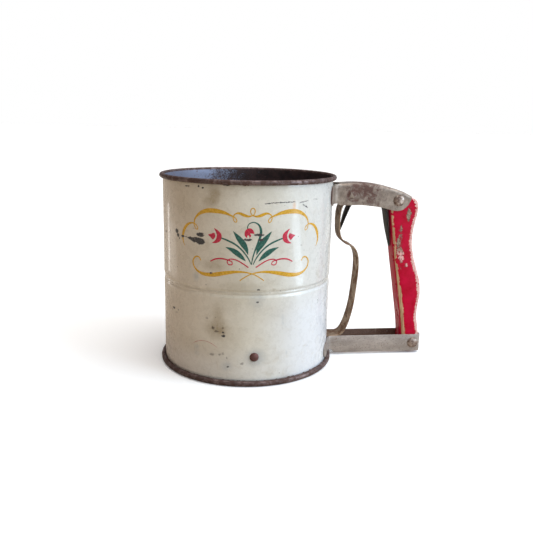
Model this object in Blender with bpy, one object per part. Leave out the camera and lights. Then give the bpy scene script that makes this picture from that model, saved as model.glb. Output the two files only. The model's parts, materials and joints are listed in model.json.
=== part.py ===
"""Squeeze-handle flour sifter with three screens, modelled as its separate pieces.

Everything is laid out around the can's own axis, with the handle towards +X and the can's foot at
height 0. One empty carries the whole layout and shifts it, so that the world origin is the middle of
the footprint. Squeezing the trigger swings it about the pivot pin in the top bracket. Its tail draws
the drive bar out along +X, and the bar turns the crank, the spindle and the three agitators.
"""
import math

import bmesh
import bpy
from mathutils import Matrix, Vector

MM = 0.001
GAP = 0.3 * MM                       # running and seating gap between neighbouring pieces

# Can
CAN_RADIUS = 62.0 * MM
CAN_HEIGHT = 140.0 * MM
CAN_WALL = 0.8 * MM
CAN_SEGMENTS = 40
TOP_CURL_RADIUS = 1.65 * MM
BOTTOM_CURL_RADIUS = 1.97 * MM
CURL_SHEET = 0.6 * MM
CURL_STEPS = 8
CURL_SWEEP = 288.0                   # degrees from the can's inner face to the curl's tip
BEAD_HEIGHT = 65.0 * MM              # stiffening groove rolled inwards
BEAD_DEPTH = 1.0 * MM
TAIL_SLOT_LOW = 9.4 * MM
TAIL_SLOT_HIGH = 16.6 * MM

# Screens, each a hoop with a ledge, a mesh disc on the ledge and an eyelet round the spindle
SCREEN_HEIGHTS = {"lower": 3.0 * MM, "middle": 33.5 * MM, "upper": 66.4 * MM}
HOOP_DEPTH = 5.0 * MM
HOOP_WALL = 0.7 * MM
HOOP_LEDGE_INNER = 57.5 * MM
LEDGE_THICKNESS = 0.8 * MM
MESH_THICKNESS = 0.6 * MM
EYELET_BORE = 3.3 * MM
EYELET_BARREL = 4.4 * MM
EYELET_FLANGE = 6.2 * MM
EYELET_LIP = 5.6 * MM
EYELET_LIP_HEIGHT = 0.6 * MM

# Spindle and what turns with it
SPINDLE_HALF_SIDE = 2.1 * MM
SPINDLE_CHAMFER = 0.4 * MM
SPINDLE_FOOT = 0.6 * MM
SPINDLE_TOP = 77.5 * MM
AGITATOR_REACH = 56.0 * MM
AGITATOR_ARM_WIDTH = 2.2 * MM
AGITATOR_ARM_HEIGHT = 1.8 * MM
AGITATOR_HUB_RADIUS = 5.0 * MM
AGITATOR_HUB_HEIGHT = 3.6 * MM
SPACER_RADIUS = 4.3 * MM

# Crossbar that carries the spindle's bush, riveted across the can
CROSSBAR_HEIGHT = 13.0 * MM
CROSSBAR_THICKNESS = 1.5 * MM
CROSSBAR_HALF_WIDTH = 8.0 * MM
CROSSBAR_REACH = 60.2 * MM
CROSSBAR_TAB_TOP = 25.5 * MM
BODY_RIVET_HEIGHT = 20.8 * MM
BODY_RIVET_SHANK = 1.6 * MM
BODY_RIVET_HEAD = 3.2 * MM
BODY_RIVET_TAIL = 2.8 * MM
BUSH_RADIUS = 4.2 * MM

# Trigger, drive bar and crank
PIVOT = Vector((76.8, 0.0, 125.3)) * MM
PIVOT_PIN_RADIUS = 1.8 * MM
PIVOT_PIN_HEAD = 3.0 * MM
PIVOT_PIN_RISE = 0.5 * MM
SQUEEZE_ANGLE = math.radians(10.0)
TRIGGER_THICKNESS = 1.2 * MM
TRIGGER_HALF_WIDTH = 7.2 * MM
TAIL_EYE = Vector((38.5, 0.0, 14.6)) * MM
TAIL_OVERHANG = 4.5 * MM
TONGUE_HALF_WIDTH = 4.0 * MM
TONGUE_THICKNESS = 1.2 * MM
TONGUE_LOW = 8.0 * MM
SPRING_HALF_WIDTH = 6.0 * MM
SPRING_THICKNESS = 0.6 * MM
BAR_LOW = 15.9 * MM
BAR_THICKNESS = 1.2 * MM
CRANK_LOW = BAR_LOW + BAR_THICKNESS + GAP
CRANK_THICKNESS = 1.5 * MM
CRANK_RADIUS = 17.0 * MM
CRANK_PIN_RADIUS = 2.0 * MM
CRANK_COLLAR_TOP = 23.0 * MM

# Brackets and handle
BRACKET_SHEET = 0.8 * MM
BRACKET_HALF_WIDTH = 8.4 * MM        # to the outer faces
BRACKET_END = 137.9 * MM
LOWER_BRACKET_LOW = 1.8 * MM
LOWER_BRACKET_HIGH = 15.4 * MM
LOWER_EAR_TIP = 27.5                 # degrees round the can from the handle's plane
TOP_EAR_TIP = 24.5
TOP_EAR_LOW = 118.8 * MM
TOP_EAR_HIGH = 133.0 * MM
EAR_CORNER = 5.5 * MM
EAR_TIP_STEPS = (0.0, 0.5, 1.5, 3.0, 5.0, 8.5)
EAR_ROOT_ANGLES = (15.0, 11.5)
HANDLE_HALF_WIDTH = 7.3 * MM
HANDLE_EDGE_ROUND = 1.8 * MM
TOP_RIVET = Vector((112.6, 0.0, 121.3)) * MM
LOWER_RIVET = Vector((131.5, 0.0, 8.8)) * MM
HANDLE_RIVET_RADIUS = 2.2 * MM
HANDLE_RIVET_HEAD = 4.3 * MM
HANDLE_RIVET_RISE = 1.7 * MM

# Side view of the top bracket's channel: distance from the can's axis, lower edge, upper edge
CHANNEL_STATIONS = ((67.5, 117.5, 133.4), (76.0, 117.6, 134.0), (83.0, 117.8, 134.0),
                    (90.0, 117.2, 133.6), (97.0, 116.4, 132.7), (103.0, 115.1, 131.5),
                    (108.0, 113.9, 130.2), (111.4, 113.5, 129.2), (113.9, 113.7, 128.4),
                    (116.5, 114.7, 127.4), (119.6, 117.6, 125.9), (121.4, 120.6, 124.9),
                    (122.3, 122.8, 124.3))
# Plan of the bend that leads from an ear into a side plate: distance from the axis, half width
EAR_BEND = ((62.55, 9.8), (64.0, 8.5), (65.6, 8.05))
PLATE_START = 66.8 * MM

# Finishes: colour, metallic, roughness
ENAMEL = ((0.86, 0.84, 0.77), 0.0, 0.30)
BARE_STEEL = ((0.42, 0.38, 0.34), 0.9, 0.50)
WIRE_CLOTH = ((0.45, 0.43, 0.40), 0.9, 0.45)
TINNED_STEEL = ((0.58, 0.55, 0.51), 0.9, 0.42)
PATINA_STEEL = ((0.36, 0.27, 0.20), 0.8, 0.50)
SPRING_STEEL = ((0.07, 0.06, 0.06), 0.7, 0.50)
RIVET_STEEL = ((0.34, 0.25, 0.20), 0.8, 0.50)
BRASS = ((0.62, 0.48, 0.22), 0.9, 0.40)
RED_WOOD = ((0.72, 0.03, 0.13), 0.0, 0.35)
CUTTER_FINISH = ((0.8, 0.2, 0.2), 0.0, 0.5)

CAN_INNER = CAN_RADIUS - CAN_WALL
BOTTOM_RIM_OUTER = CAN_INNER + 2 * BOTTOM_CURL_RADIUS
FOOTPRINT_MIDDLE = (BRACKET_END - BOTTOM_RIM_OUTER) / 2
TAIL_ARM = PIVOT.z - TAIL_EYE.z
BAR_TRAVEL = (TAIL_ARM * math.sin(SQUEEZE_ANGLE)
              - (PIVOT.x - TAIL_EYE.x) * (math.cos(SQUEEZE_ANGLE) - 1))
CRANK_HALF_SWING = math.asin(BAR_TRAVEL / 2 / CRANK_RADIUS)


# ---------------------------------------------------------------- scene and materials

def clear_scene():
    for item in list(bpy.data.objects):
        bpy.data.objects.remove(item, do_unlink=True)


def make_material(name, colour, metallic, roughness):
    material = bpy.data.materials.new(name)
    material.use_nodes = True
    shader = material.node_tree.nodes["Principled BSDF"]
    shader.inputs["Base Color"].default_value = (*colour, 1.0)
    shader.inputs["Metallic"].default_value = metallic
    shader.inputs["Roughness"].default_value = roughness
    material.diffuse_color = (*colour, 1.0)
    return material


def make_layout_empty():
    empty = bpy.data.objects.new("sifter_layout", None)
    bpy.context.scene.collection.objects.link(empty)
    empty.location.x = -FOOTPRINT_MIDDLE
    return empty


def add_piece(name, bm, finish, origin=Vector((0, 0, 0)), smooth=True):
    """Turn a bmesh in layout coordinates into an object whose origin is at `origin`."""
    mesh = bpy.data.meshes.new(name)
    bmesh.ops.recalc_face_normals(bm, faces=bm.faces)
    bm.to_mesh(mesh)
    bm.free()
    mesh.transform(Matrix.Translation(-origin))
    if smooth:
        mesh.shade_smooth()
        mesh.set_sharp_from_angle(angle=math.radians(35))
    mesh.materials.append(make_material(name, *finish))
    piece = bpy.data.objects.new(name, mesh)
    bpy.context.scene.collection.objects.link(piece)
    piece.parent = LAYOUT
    piece.location = origin
    return piece


def add_cutter(name, bm):
    cutter = add_piece(name, bm, CUTTER_FINISH)
    cutter.hide_render = True
    cutter.display_type = "WIRE"
    return cutter


def combine(piece, tool, operation):
    modifier = piece.modifiers.new(operation.lower(), "BOOLEAN")
    modifier.operation = operation
    modifier.solver = "EXACT"
    modifier.object = tool


def drill(piece, start, end, radius, segments=12):
    """Cut a round hole from one point to another."""
    bm = bmesh.new()
    axis = end - start
    turn = axis.to_track_quat("Z", "Y").to_matrix().to_4x4()
    place = Matrix.Translation((start + end) / 2) @ turn
    bmesh.ops.create_cone(bm, cap_ends=True, segments=segments, radius1=radius, radius2=radius,
                          depth=axis.length, matrix=place)
    combine(piece, add_cutter(piece.name + "_drill", bm), "DIFFERENCE")


def cut_box(piece, low, high):
    combine(piece, add_cutter(piece.name + "_slot", box(low, high)), "DIFFERENCE")


# ---------------------------------------------------------------- shape builders

def layout_plan(across, along, up):
    """Outline drawn on the ground, extruded upwards."""
    return across, along, up


def layout_side(across, up, along):
    """Outline drawn as seen from the side, extruded across the handle."""
    return across, along, up


def layout_end(across, up, along):
    """Outline drawn as seen along the handle, extruded towards it."""
    return along, across, up


def box(low, high):
    bm = bmesh.new()
    size = Vector(high) - Vector(low)
    place = Matrix.Translation((Vector(low) + Vector(high)) / 2) @ Matrix.Diagonal((*size, 1.0))
    bmesh.ops.create_cube(bm, size=1.0, matrix=place)
    return bm


def extruded(outline, start, end, layout=layout_plan):
    """Prism of a closed outline of (u, v) points between two levels of the third direction."""
    bm = bmesh.new()
    near = [bm.verts.new(layout(u, v, start)) for u, v in outline]
    far = [bm.verts.new(layout(u, v, end)) for u, v in outline]
    bm.faces.new(near)
    bm.faces.new(far)
    for i in range(len(outline)):
        j = (i + 1) % len(outline)
        bm.faces.new((near[i], near[j], far[j], far[i]))
    return bm


def turned(outline, segments=CAN_SEGMENTS, matrix=Matrix.Identity(4)):
    """Ring or knob: a closed outline of (radius, height) points turned about an axis."""
    bm = bmesh.new()
    rings = []
    for radius, height in outline:
        count = segments if radius > 0 else 1
        turns = [2 * math.pi * i / segments for i in range(count)]
        points = [Vector((radius * math.cos(a), radius * math.sin(a), height)) for a in turns]
        rings.append([bm.verts.new(matrix @ point) for point in points])
    for ring, following in zip(rings, rings[1:] + rings[:1]):
        for i in range(segments):
            j = i + 1
            corners = (ring[i % len(ring)], ring[j % len(ring)],
                       following[j % len(following)], following[i % len(following)])
            corners = list(dict.fromkeys(corners))
            if len(corners) > 2:
                bm.faces.new(corners)
    return bm


def tube(inner, outer, low, high, segments=16):
    return turned([(inner, low), (outer, low), (outer, high), (inner, high)], segments)


def arc(centre, radius, start, end, steps):
    """Points round a circle, angles in degrees."""
    turns = [math.radians(start + (end - start) * i / steps) for i in range(steps + 1)]
    return [(centre[0] + radius * math.cos(a), centre[1] + radius * math.sin(a)) for a in turns]


def smooth_path(points, steps):
    """Catmull-Rom curve through open points."""
    padded = [points[0]] + list(points) + [points[-1]]
    path = []
    for before, start, end, after in zip(padded, padded[1:], padded[2:], padded[3:]):
        before, start, end, after = map(Vector, (before, start, end, after))
        for i in range(steps):
            t = i / steps
            path.append(0.5 * (2 * start + (end - before) * t
                               + (2 * before - 5 * start + 4 * end - after) * t ** 2
                               + (3 * start - before - 3 * end + after) * t ** 3))
    path.append(Vector(points[-1]))
    return path


def in_mm(points):
    return [Vector(point) * MM for point in points]


def strip_sides(path, thickness):
    """The two faces of a bent strip, from its centre line."""
    left, right = [], []
    for i, point in enumerate(path):
        run = path[min(i + 1, len(path) - 1)] - path[max(i - 1, 0)]
        normal = Vector((-run.y, run.x)).normalized() * thickness / 2
        left.append(point + normal)
        right.append(point - normal)
    return left, right


def strip(path, thickness, spans, layout):
    """Bent strip of sheet. `spans` gives its low and high edge at each point of the path."""
    bm = bmesh.new()
    left, right = strip_sides(path, thickness)
    rings = []
    for a, b, (low, high) in zip(left, right, spans):
        corners = ((a, low), (a, high), (b, high), (b, low))
        rings.append([bm.verts.new(layout(side.x, side.y, edge)) for side, edge in corners])
    for ring, following in zip(rings, rings[1:]):
        for i in range(4):
            j = (i + 1) % 4
            bm.faces.new((ring[i], ring[j], following[j], following[i]))
    bm.faces.new(rings[0])
    bm.faces.new(rings[-1])
    return bm


def round_head(radius, height, seat, shank, steps=3):
    """Half outline of a domed rivet head, from its rim on the shank to the top of the dome."""
    dome = [(radius * math.cos(a), seat + height * math.sin(a))
            for a in (math.pi / 2 * i / steps for i in range(steps))]
    return [(shank, seat)] + dome + [(0.0, seat + height)]


# ---------------------------------------------------------------- can

def rolled_edge(centre, radius, direction):
    """Section of a rolled edge: its outside from the can's inner face to the tip, and its inside
    from the tip back to the can's outer face. `direction` is 1 at the foot and -1 at the top."""
    inner = radius - CURL_SHEET
    tip = 180.0 + direction * CURL_SWEEP
    meeting = math.degrees(math.acos((centre[0] - CAN_RADIUS) / inner))
    outside = arc(centre, radius, 180.0, tip, CURL_STEPS)
    inside = arc(centre, inner, tip, 180.0 - direction * meeting, CURL_STEPS)
    return outside, inside


def curl_centre(radius, at_top):
    """Centre of a curl whose flat outer side lies exactly on the can's end plane."""
    rise = radius * math.cos(math.radians(CURL_SWEEP / CURL_STEPS / 2))
    return CAN_INNER + radius, CAN_HEIGHT - rise if at_top else rise


def make_body_shell():
    foot = rolled_edge(curl_centre(BOTTOM_CURL_RADIUS, False), BOTTOM_CURL_RADIUS, 1)
    top = rolled_edge(curl_centre(TOP_CURL_RADIUS, True), TOP_CURL_RADIUS, -1)
    groove = [(0.0, -1.3 * MM), (-BEAD_DEPTH, -0.5 * MM), (-BEAD_DEPTH, 0.5 * MM), (0.0, 1.3 * MM)]
    ridge = [(CAN_INNER + r, BEAD_HEIGHT + z) for r, z in groove]
    trough = [(CAN_RADIUS + r, BEAD_HEIGHT + z) for r, z in reversed(groove)]
    outline = ridge + top[0] + top[1] + trough + foot[1][::-1] + foot[0][::-1]
    shell = add_piece("body_shell", turned(outline), ENAMEL)
    slot_half = TRIGGER_HALF_WIDTH + 2 * GAP
    cut_box(shell, (CAN_RADIUS - 4 * MM, -slot_half, TAIL_SLOT_LOW),
            (CAN_RADIUS + 4 * MM, slot_half, TAIL_SLOT_HIGH))
    drill_rivet_holes(shell, CAN_INNER - 4 * MM, CAN_RADIUS + 4 * MM)


def drill_rivet_holes(piece, start, end):
    """Holes for the crossbar's two rivets, from `start` to `end` away from the axis."""
    for way in (-1, 1):
        drill(piece, Vector((0, way * start, BODY_RIVET_HEIGHT)),
              Vector((0, way * end, BODY_RIVET_HEIGHT)), BODY_RIVET_SHANK + GAP)


def make_rim_wire(name, curl_radius, at_top):
    """Round wire held inside a rolled edge."""
    steps = 5
    bore = (curl_radius - CURL_SHEET) * math.cos(math.radians(CURL_SWEEP / CURL_STEPS / 2))
    centre = curl_centre(curl_radius, at_top)
    add_piece(name, turned(arc(centre, bore - GAP, 0, 360, steps)[:-1]), BARE_STEEL)


# ---------------------------------------------------------------- screens

def make_screen(place, height):
    outer = CAN_INNER - GAP
    inner = outer - HOOP_WALL
    ledge = height + LEDGE_THICKNESS
    top = height + HOOP_DEPTH
    hoop = [(HOOP_LEDGE_INNER, height), (outer, height), (outer, top), (inner, top),
            (inner, ledge), (HOOP_LEDGE_INNER, ledge)]
    add_piece(place + "_screen_hoop", turned(hoop), BARE_STEEL)
    mesh_low = ledge + GAP
    mesh_high = mesh_low + MESH_THICKNESS
    disc = [(EYELET_BARREL + GAP, mesh_low), (inner - GAP, mesh_low),
            (inner - GAP, mesh_high), (EYELET_BARREL + GAP, mesh_high)]
    add_piece(place + "_screen_mesh", turned(disc), WIRE_CLOTH)
    lip = mesh_high + GAP
    eyelet = [(EYELET_BORE, height), (EYELET_FLANGE, height), (EYELET_FLANGE, ledge),
              (EYELET_BARREL, ledge), (EYELET_BARREL, lip), (EYELET_LIP, lip),
              (EYELET_LIP, lip + EYELET_LIP_HEIGHT), (EYELET_BORE, lip + EYELET_LIP_HEIGHT)]
    add_piece(place + "_screen_eyelet", turned(eyelet, 16), BARE_STEEL)
    return lip + EYELET_LIP_HEIGHT


# ---------------------------------------------------------------- spindle group

def square_outline(half_side, chamfer):
    """Square with its corners taken off."""
    near = half_side - chamfer
    corner = [(half_side, -near), (half_side, near)]
    outline = []
    for quarter in range(4):
        cos, sin = (1, 0, -1, 0)[quarter], (0, 1, 0, -1)[quarter]
        outline += [(u * cos - v * sin, u * sin + v * cos) for u, v in corner]
    return outline


def square_bore(piece, low, high):
    half = SPINDLE_HALF_SIDE + GAP
    bore = extruded(square_outline(half, SPINDLE_CHAMFER), low - MM, high + MM)
    combine(piece, add_cutter(piece.name + "_bore", bore), "DIFFERENCE")


def union_with(piece, bm):
    combine(piece, add_cutter(piece.name + "_joined", bm), "UNION")


def make_spindle():
    """Square rod on a round foot, and the washer between the foot and the lower screen."""
    foot_top = SPINDLE_FOOT + 1.0 * MM
    foot_radius, foot_chamfer = 4.0 * MM, 0.5 * MM
    rod = square_outline(SPINDLE_HALF_SIDE, SPINDLE_CHAMFER)
    spindle = add_piece("spindle", extruded(rod, SPINDLE_FOOT + foot_chamfer, SPINDLE_TOP), BARE_STEEL)
    foot = [(0, SPINDLE_FOOT), (foot_radius - foot_chamfer, SPINDLE_FOOT),
            (foot_radius, SPINDLE_FOOT + foot_chamfer), (foot_radius, foot_top), (0, foot_top)]
    union_with(spindle, turned(foot, 16))
    washer_low = foot_top + GAP
    washer = tube(EYELET_BORE, 5.5 * MM, washer_low, SCREEN_HEIGHTS["lower"] - GAP)
    add_piece("spindle_foot_washer", washer, BARE_STEEL)


def make_agitator(place, low):
    """Four-armed stamping with a raised hub. Returns the top of the hub."""
    half = AGITATOR_ARM_WIDTH / 2
    hub_low = low + AGITATOR_ARM_HEIGHT / 2
    star = []
    for quarter in range(4):
        turn = Matrix.Rotation(math.pi / 2 * quarter, 2)
        arm = [(half, -half), (AGITATOR_REACH, -half), (AGITATOR_REACH, half), (half, half)]
        star += [tuple(turn @ Vector(point)) for point in arm[1:]]
    top = low + AGITATOR_HUB_HEIGHT
    agitator = add_piece(place + "_agitator", extruded(star, low, low + AGITATOR_ARM_HEIGHT), BARE_STEEL)
    union_with(agitator, turned([(0, hub_low), (AGITATOR_HUB_RADIUS, hub_low),
                                 (AGITATOR_HUB_RADIUS, top), (0, top)], 16))
    square_bore(agitator, low, top)
    return top


def make_spacer(name, low, high):
    add_piece(name, tube(EYELET_BORE, SPACER_RADIUS, low, high), BARE_STEEL)


def crank_rest_turn():
    return Matrix.Rotation(math.pi / 2 + CRANK_HALF_SWING, 4, "Z")


def make_crank():
    """Arm and collar on the spindle. At rest it leads the crossbar by half of its swing."""
    high = CRANK_LOW + CRANK_THICKNESS
    root_radius, tip_radius = 6.5 * MM, 4.8 * MM
    outline = arc((0, 0), root_radius, 70, 290, 9) + arc((CRANK_RADIUS, 0), tip_radius, -80, 80, 7)
    arm = extruded(outline, CRANK_LOW, high)
    arm.transform(crank_rest_turn())
    crank = add_piece("crank", arm, BARE_STEEL)
    union_with(crank, turned([(0, CRANK_LOW + MM), (5 * MM, CRANK_LOW + MM),
                              (5 * MM, CRANK_COLLAR_TOP), (0, CRANK_COLLAR_TOP)], 16))
    square_bore(crank, CRANK_LOW, CRANK_COLLAR_TOP)
    pin = crank_rest_turn() @ Vector((CRANK_RADIUS, 0, 0))
    up = Vector((0, 0, 1))
    drill(crank, pin + up * (CRANK_LOW - MM), pin + up * (high + MM), CRANK_PIN_RADIUS + GAP, 16)
    head = high + GAP
    outline = [(0, BAR_LOW), (CRANK_PIN_RADIUS, BAR_LOW), (CRANK_PIN_RADIUS, head), (3.4 * MM, head),
               (3.4 * MM, head + 0.6 * MM), (2.4 * MM, head + MM), (0, head + MM)]
    add_piece("crank_pin", turned(outline, 16, Matrix.Translation(pin)), BARE_STEEL)


def make_spindle_nut(low):
    nut = extruded(arc((0, 0), 5.2 * MM, 0, 360, 6)[:-1], low, SPINDLE_TOP - 1.2 * MM)
    piece = add_piece("spindle_nut", nut, BARE_STEEL)
    drill(piece, Vector((0, 0, low - MM)), Vector((0, 0, SPINDLE_TOP)), EYELET_BORE)


def make_spindle_group(eyelet_tops):
    make_spindle()
    make_crank()
    make_agitator("lower", eyelet_tops["lower"] + GAP)
    make_spacer("lower_spacer", CRANK_COLLAR_TOP + GAP, SCREEN_HEIGHTS["middle"] - GAP)
    middle_top = make_agitator("middle", eyelet_tops["middle"] + GAP)
    make_spacer("upper_spacer", middle_top + GAP, SCREEN_HEIGHTS["upper"] - GAP)
    upper_top = make_agitator("upper", eyelet_tops["upper"] + GAP)
    make_spindle_nut(upper_top + GAP)


# ---------------------------------------------------------------- crossbar and drive bar

def make_crossbar():
    """Strap across the can with a tab turned up the wall at each end, and the spindle's bush."""
    level = CROSSBAR_HEIGHT + CROSSBAR_THICKNESS / 2
    reach = CROSSBAR_REACH - CROSSBAR_THICKNESS / 2
    bend = 2.0 * MM
    half = [(reach, CROSSBAR_TAB_TOP)] + arc((reach - bend, level + bend), bend, 0, -90, 3)
    path = [Vector(point) for point in half + [(-u, v) for u, v in reversed(half)]]
    spans = [(-CROSSBAR_HALF_WIDTH, CROSSBAR_HALF_WIDTH)] * len(path)
    crossbar = add_piece("crossbar", strip(path, CROSSBAR_THICKNESS, spans, layout_end), BARE_STEEL)
    drill(crossbar, Vector((0, 0, CROSSBAR_HEIGHT - MM)), Vector((0, 0, CROSSBAR_HEIGHT + 3 * MM)),
          BUSH_RADIUS + GAP, 16)
    drill_rivet_holes(crossbar, CROSSBAR_REACH - 4 * MM, CROSSBAR_REACH + 2 * MM)
    flange_high = CROSSBAR_HEIGHT - GAP
    flange_low = flange_high - 1.2 * MM
    top = CROSSBAR_HEIGHT + CROSSBAR_THICKNESS
    bush = [(EYELET_BORE, flange_low), (6.5 * MM, flange_low), (6.5 * MM, flange_high),
            (BUSH_RADIUS, flange_high), (BUSH_RADIUS, top), (EYELET_BORE, top)]
    add_piece("spindle_bush", turned(bush, 16), BRASS)


def make_crossbar_rivets():
    """One rivet through the wall and the tab on each side: flat head outside, upset end inside."""
    head_seat = CAN_RADIUS + GAP
    tail_seat = CROSSBAR_REACH - CROSSBAR_THICKNESS - GAP
    tail_end = tail_seat - 0.9 * MM
    head_end = head_seat + 0.9 * MM
    chamfer = 0.6 * MM
    outline = [(0, tail_end), (BODY_RIVET_TAIL - chamfer, tail_end),
               (BODY_RIVET_TAIL, tail_end + chamfer), (BODY_RIVET_TAIL, tail_seat),
               (BODY_RIVET_SHANK, tail_seat), (BODY_RIVET_SHANK, head_seat),
               (BODY_RIVET_HEAD, head_seat), (BODY_RIVET_HEAD, head_end - chamfer),
               (BODY_RIVET_HEAD - chamfer, head_end), (0, head_end)]
    for name, turn in (("crossbar_rivet_front", 90), ("crossbar_rivet_back", -90)):
        place = (Matrix.Translation((0, 0, BODY_RIVET_HEIGHT))
                 @ Matrix.Rotation(math.radians(turn), 4, "X"))
        add_piece(name, turned(outline, 16, place), RIVET_STEEL)


def make_drive_bar():
    """Flat bar that slides over the crossbar: a long slot round the spindle, an ear with the
    crank's cross slot, and a tongue bent down through the eye in the trigger's tail."""
    pin_x = -CRANK_RADIUS * math.sin(CRANK_HALF_SWING)
    half, ear_half, ear_end = 6.5 * MM, 5.6 * MM, 22.5 * MM
    end = TAIL_EYE.x + MM
    spindle_room = EYELET_BORE
    back = -BAR_TRAVEL - spindle_room - 4 * MM
    outline = [(back, -half), (end, -half), (end, half), (pin_x + ear_half, half),
               (pin_x + ear_half, ear_end), (pin_x - ear_half, ear_end), (pin_x - ear_half, half),
               (back, half)]
    top = BAR_LOW + BAR_THICKNESS
    bar = add_piece("drive_bar", extruded(outline, BAR_LOW, top), BARE_STEEL,
                    Vector((TAIL_EYE.x, 0, BAR_LOW)))
    cut_box(bar, (-BAR_TRAVEL - spindle_room, -spindle_room, BAR_LOW - MM),
            (spindle_room, spindle_room, top + MM))
    slack = 0.25 * MM                # the crank's arc against the bar's even travel
    slot_half = CRANK_PIN_RADIUS + GAP + slack
    nearest = CRANK_RADIUS * math.cos(CRANK_HALF_SWING)
    combine(bar, add_cutter("drive_bar_ear_slot",
                            box((pin_x - slot_half, nearest - slot_half, BAR_LOW - MM),
                                (pin_x + slot_half, CRANK_RADIUS + slot_half, top + MM))), "DIFFERENCE")
    tongue = TONGUE_THICKNESS / 2
    union_with(bar, box((TAIL_EYE.x - tongue, -TONGUE_HALF_WIDTH, TONGUE_LOW),
                        (TAIL_EYE.x + tongue, TONGUE_HALF_WIDTH, top - GAP)))


# ---------------------------------------------------------------- trigger and spring

def make_trigger():
    """Bent strip: rolled eye on the pivot pin, S-shaped finger grip, tail into the can."""
    eye_radius = PIVOT_PIN_RADIUS + GAP + TRIGGER_THICKNESS / 2
    pivot = (PIVOT.x, PIVOT.z)
    rolled = arc(pivot, eye_radius, -100, 180, 10)
    grip = in_mm([(73.2, 121.0), (70.0, 117.0), (68.5, 111.0), (68.3, 103.0), (69.2, 94.5), (73.0, 89.2),
                  (79.4, 86.0), (83.2, 80.0), (84.3, 70.0), (83.4, 55.0), (81.8, 40.0), (79.0, 27.5),
                  (75.6, 19.0), (72.0, 15.6), (66.5, 14.75)])
    tail = [Vector((62.0, 14.6)) * MM, Vector((TAIL_EYE.x - TAIL_OVERHANG, TAIL_EYE.z))]
    path = [Vector(point) for point in rolled] + smooth_path(grip, 2) + tail
    spans = [(-TRIGGER_HALF_WIDTH, TRIGGER_HALF_WIDTH)] * len(path)
    trigger = add_piece("trigger", strip(path, TRIGGER_THICKNESS, spans, layout_side), PATINA_STEEL, PIVOT)
    eye_half, room = 1.4 * MM, TONGUE_HALF_WIDTH + 2 * GAP
    cut_box(trigger, (TAIL_EYE.x - eye_half, -room, TAIL_EYE.z - 3 * MM),
            (TAIL_EYE.x + eye_half, room, TAIL_EYE.z + 3 * MM))


def make_return_spring():
    """Arched leaf between the trigger and the grip."""
    arch = in_mm([(70.2, 97.6), (71.8, 103.5), (73.7, 110.0), (76.2, 116.4), (79.6, 121.6), (83.6, 126.2),
                  (88.6, 129.2), (94.0, 128.6), (98.6, 124.8), (102.0, 119.2), (104.4, 112.6),
                  (106.3, 102.0), (108.0, 93.2), (109.7, 85.2)])
    path = smooth_path(arch, 2)
    spans = [(-SPRING_HALF_WIDTH, SPRING_HALF_WIDTH)] * len(path)
    add_piece("return_spring", strip(path, SPRING_THICKNESS, spans, layout_side), SPRING_STEEL)


# ---------------------------------------------------------------- brackets

def ear_stations(tip, low, high):
    """A rounded tab lying on the can, from its tip to the end of its bend into a side plate.
    Gives (point, low edge, high edge), on the side of positive y."""
    radius = CAN_RADIUS + GAP + BRACKET_SHEET / 2
    stations = []
    for angle in [tip - step for step in EAR_TIP_STEPS] + list(EAR_ROOT_ANGLES):
        inset = max(0.0, EAR_CORNER - math.radians(tip - angle) * radius)
        rounding = EAR_CORNER - math.sqrt(EAR_CORNER ** 2 - inset ** 2)
        point = Vector((math.cos(math.radians(angle)), math.sin(math.radians(angle)))) * radius
        stations.append((point, low + rounding, high - rounding))
    return stations + [(Vector(point) * MM, low, high) for point in EAR_BEND]


def make_lower_bracket():
    """U-shaped strip: an ear on the can, a side plate, round the grip's end and back."""
    plate = BRACKET_HALF_WIDTH - BRACKET_SHEET / 2
    end = BRACKET_END - BRACKET_SHEET / 2
    bend = 1.2 * MM
    clear_of_rim = 2 * BOTTOM_CURL_RADIUS + 2 * GAP
    half = ear_stations(LOWER_EAR_TIP, clear_of_rim, LOWER_BRACKET_HIGH)
    straight = [(PLATE_START, plate)] + arc((end - bend, plate - bend), bend, 90, 0, 3)
    half += [(Vector(point), LOWER_BRACKET_LOW, LOWER_BRACKET_HIGH) for point in straight]
    stations = half + [(Vector((p.x, -p.y)), low, high) for p, low, high in reversed(half)]
    path = [point for point, _, _ in stations]
    spans = [(low, high) for _, low, high in stations]
    bracket = add_piece("lower_bracket", strip(path, BRACKET_SHEET, spans, layout_plan), TINNED_STEEL)
    drill_across(bracket, LOWER_RIVET, HANDLE_RIVET_RADIUS + GAP)


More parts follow.
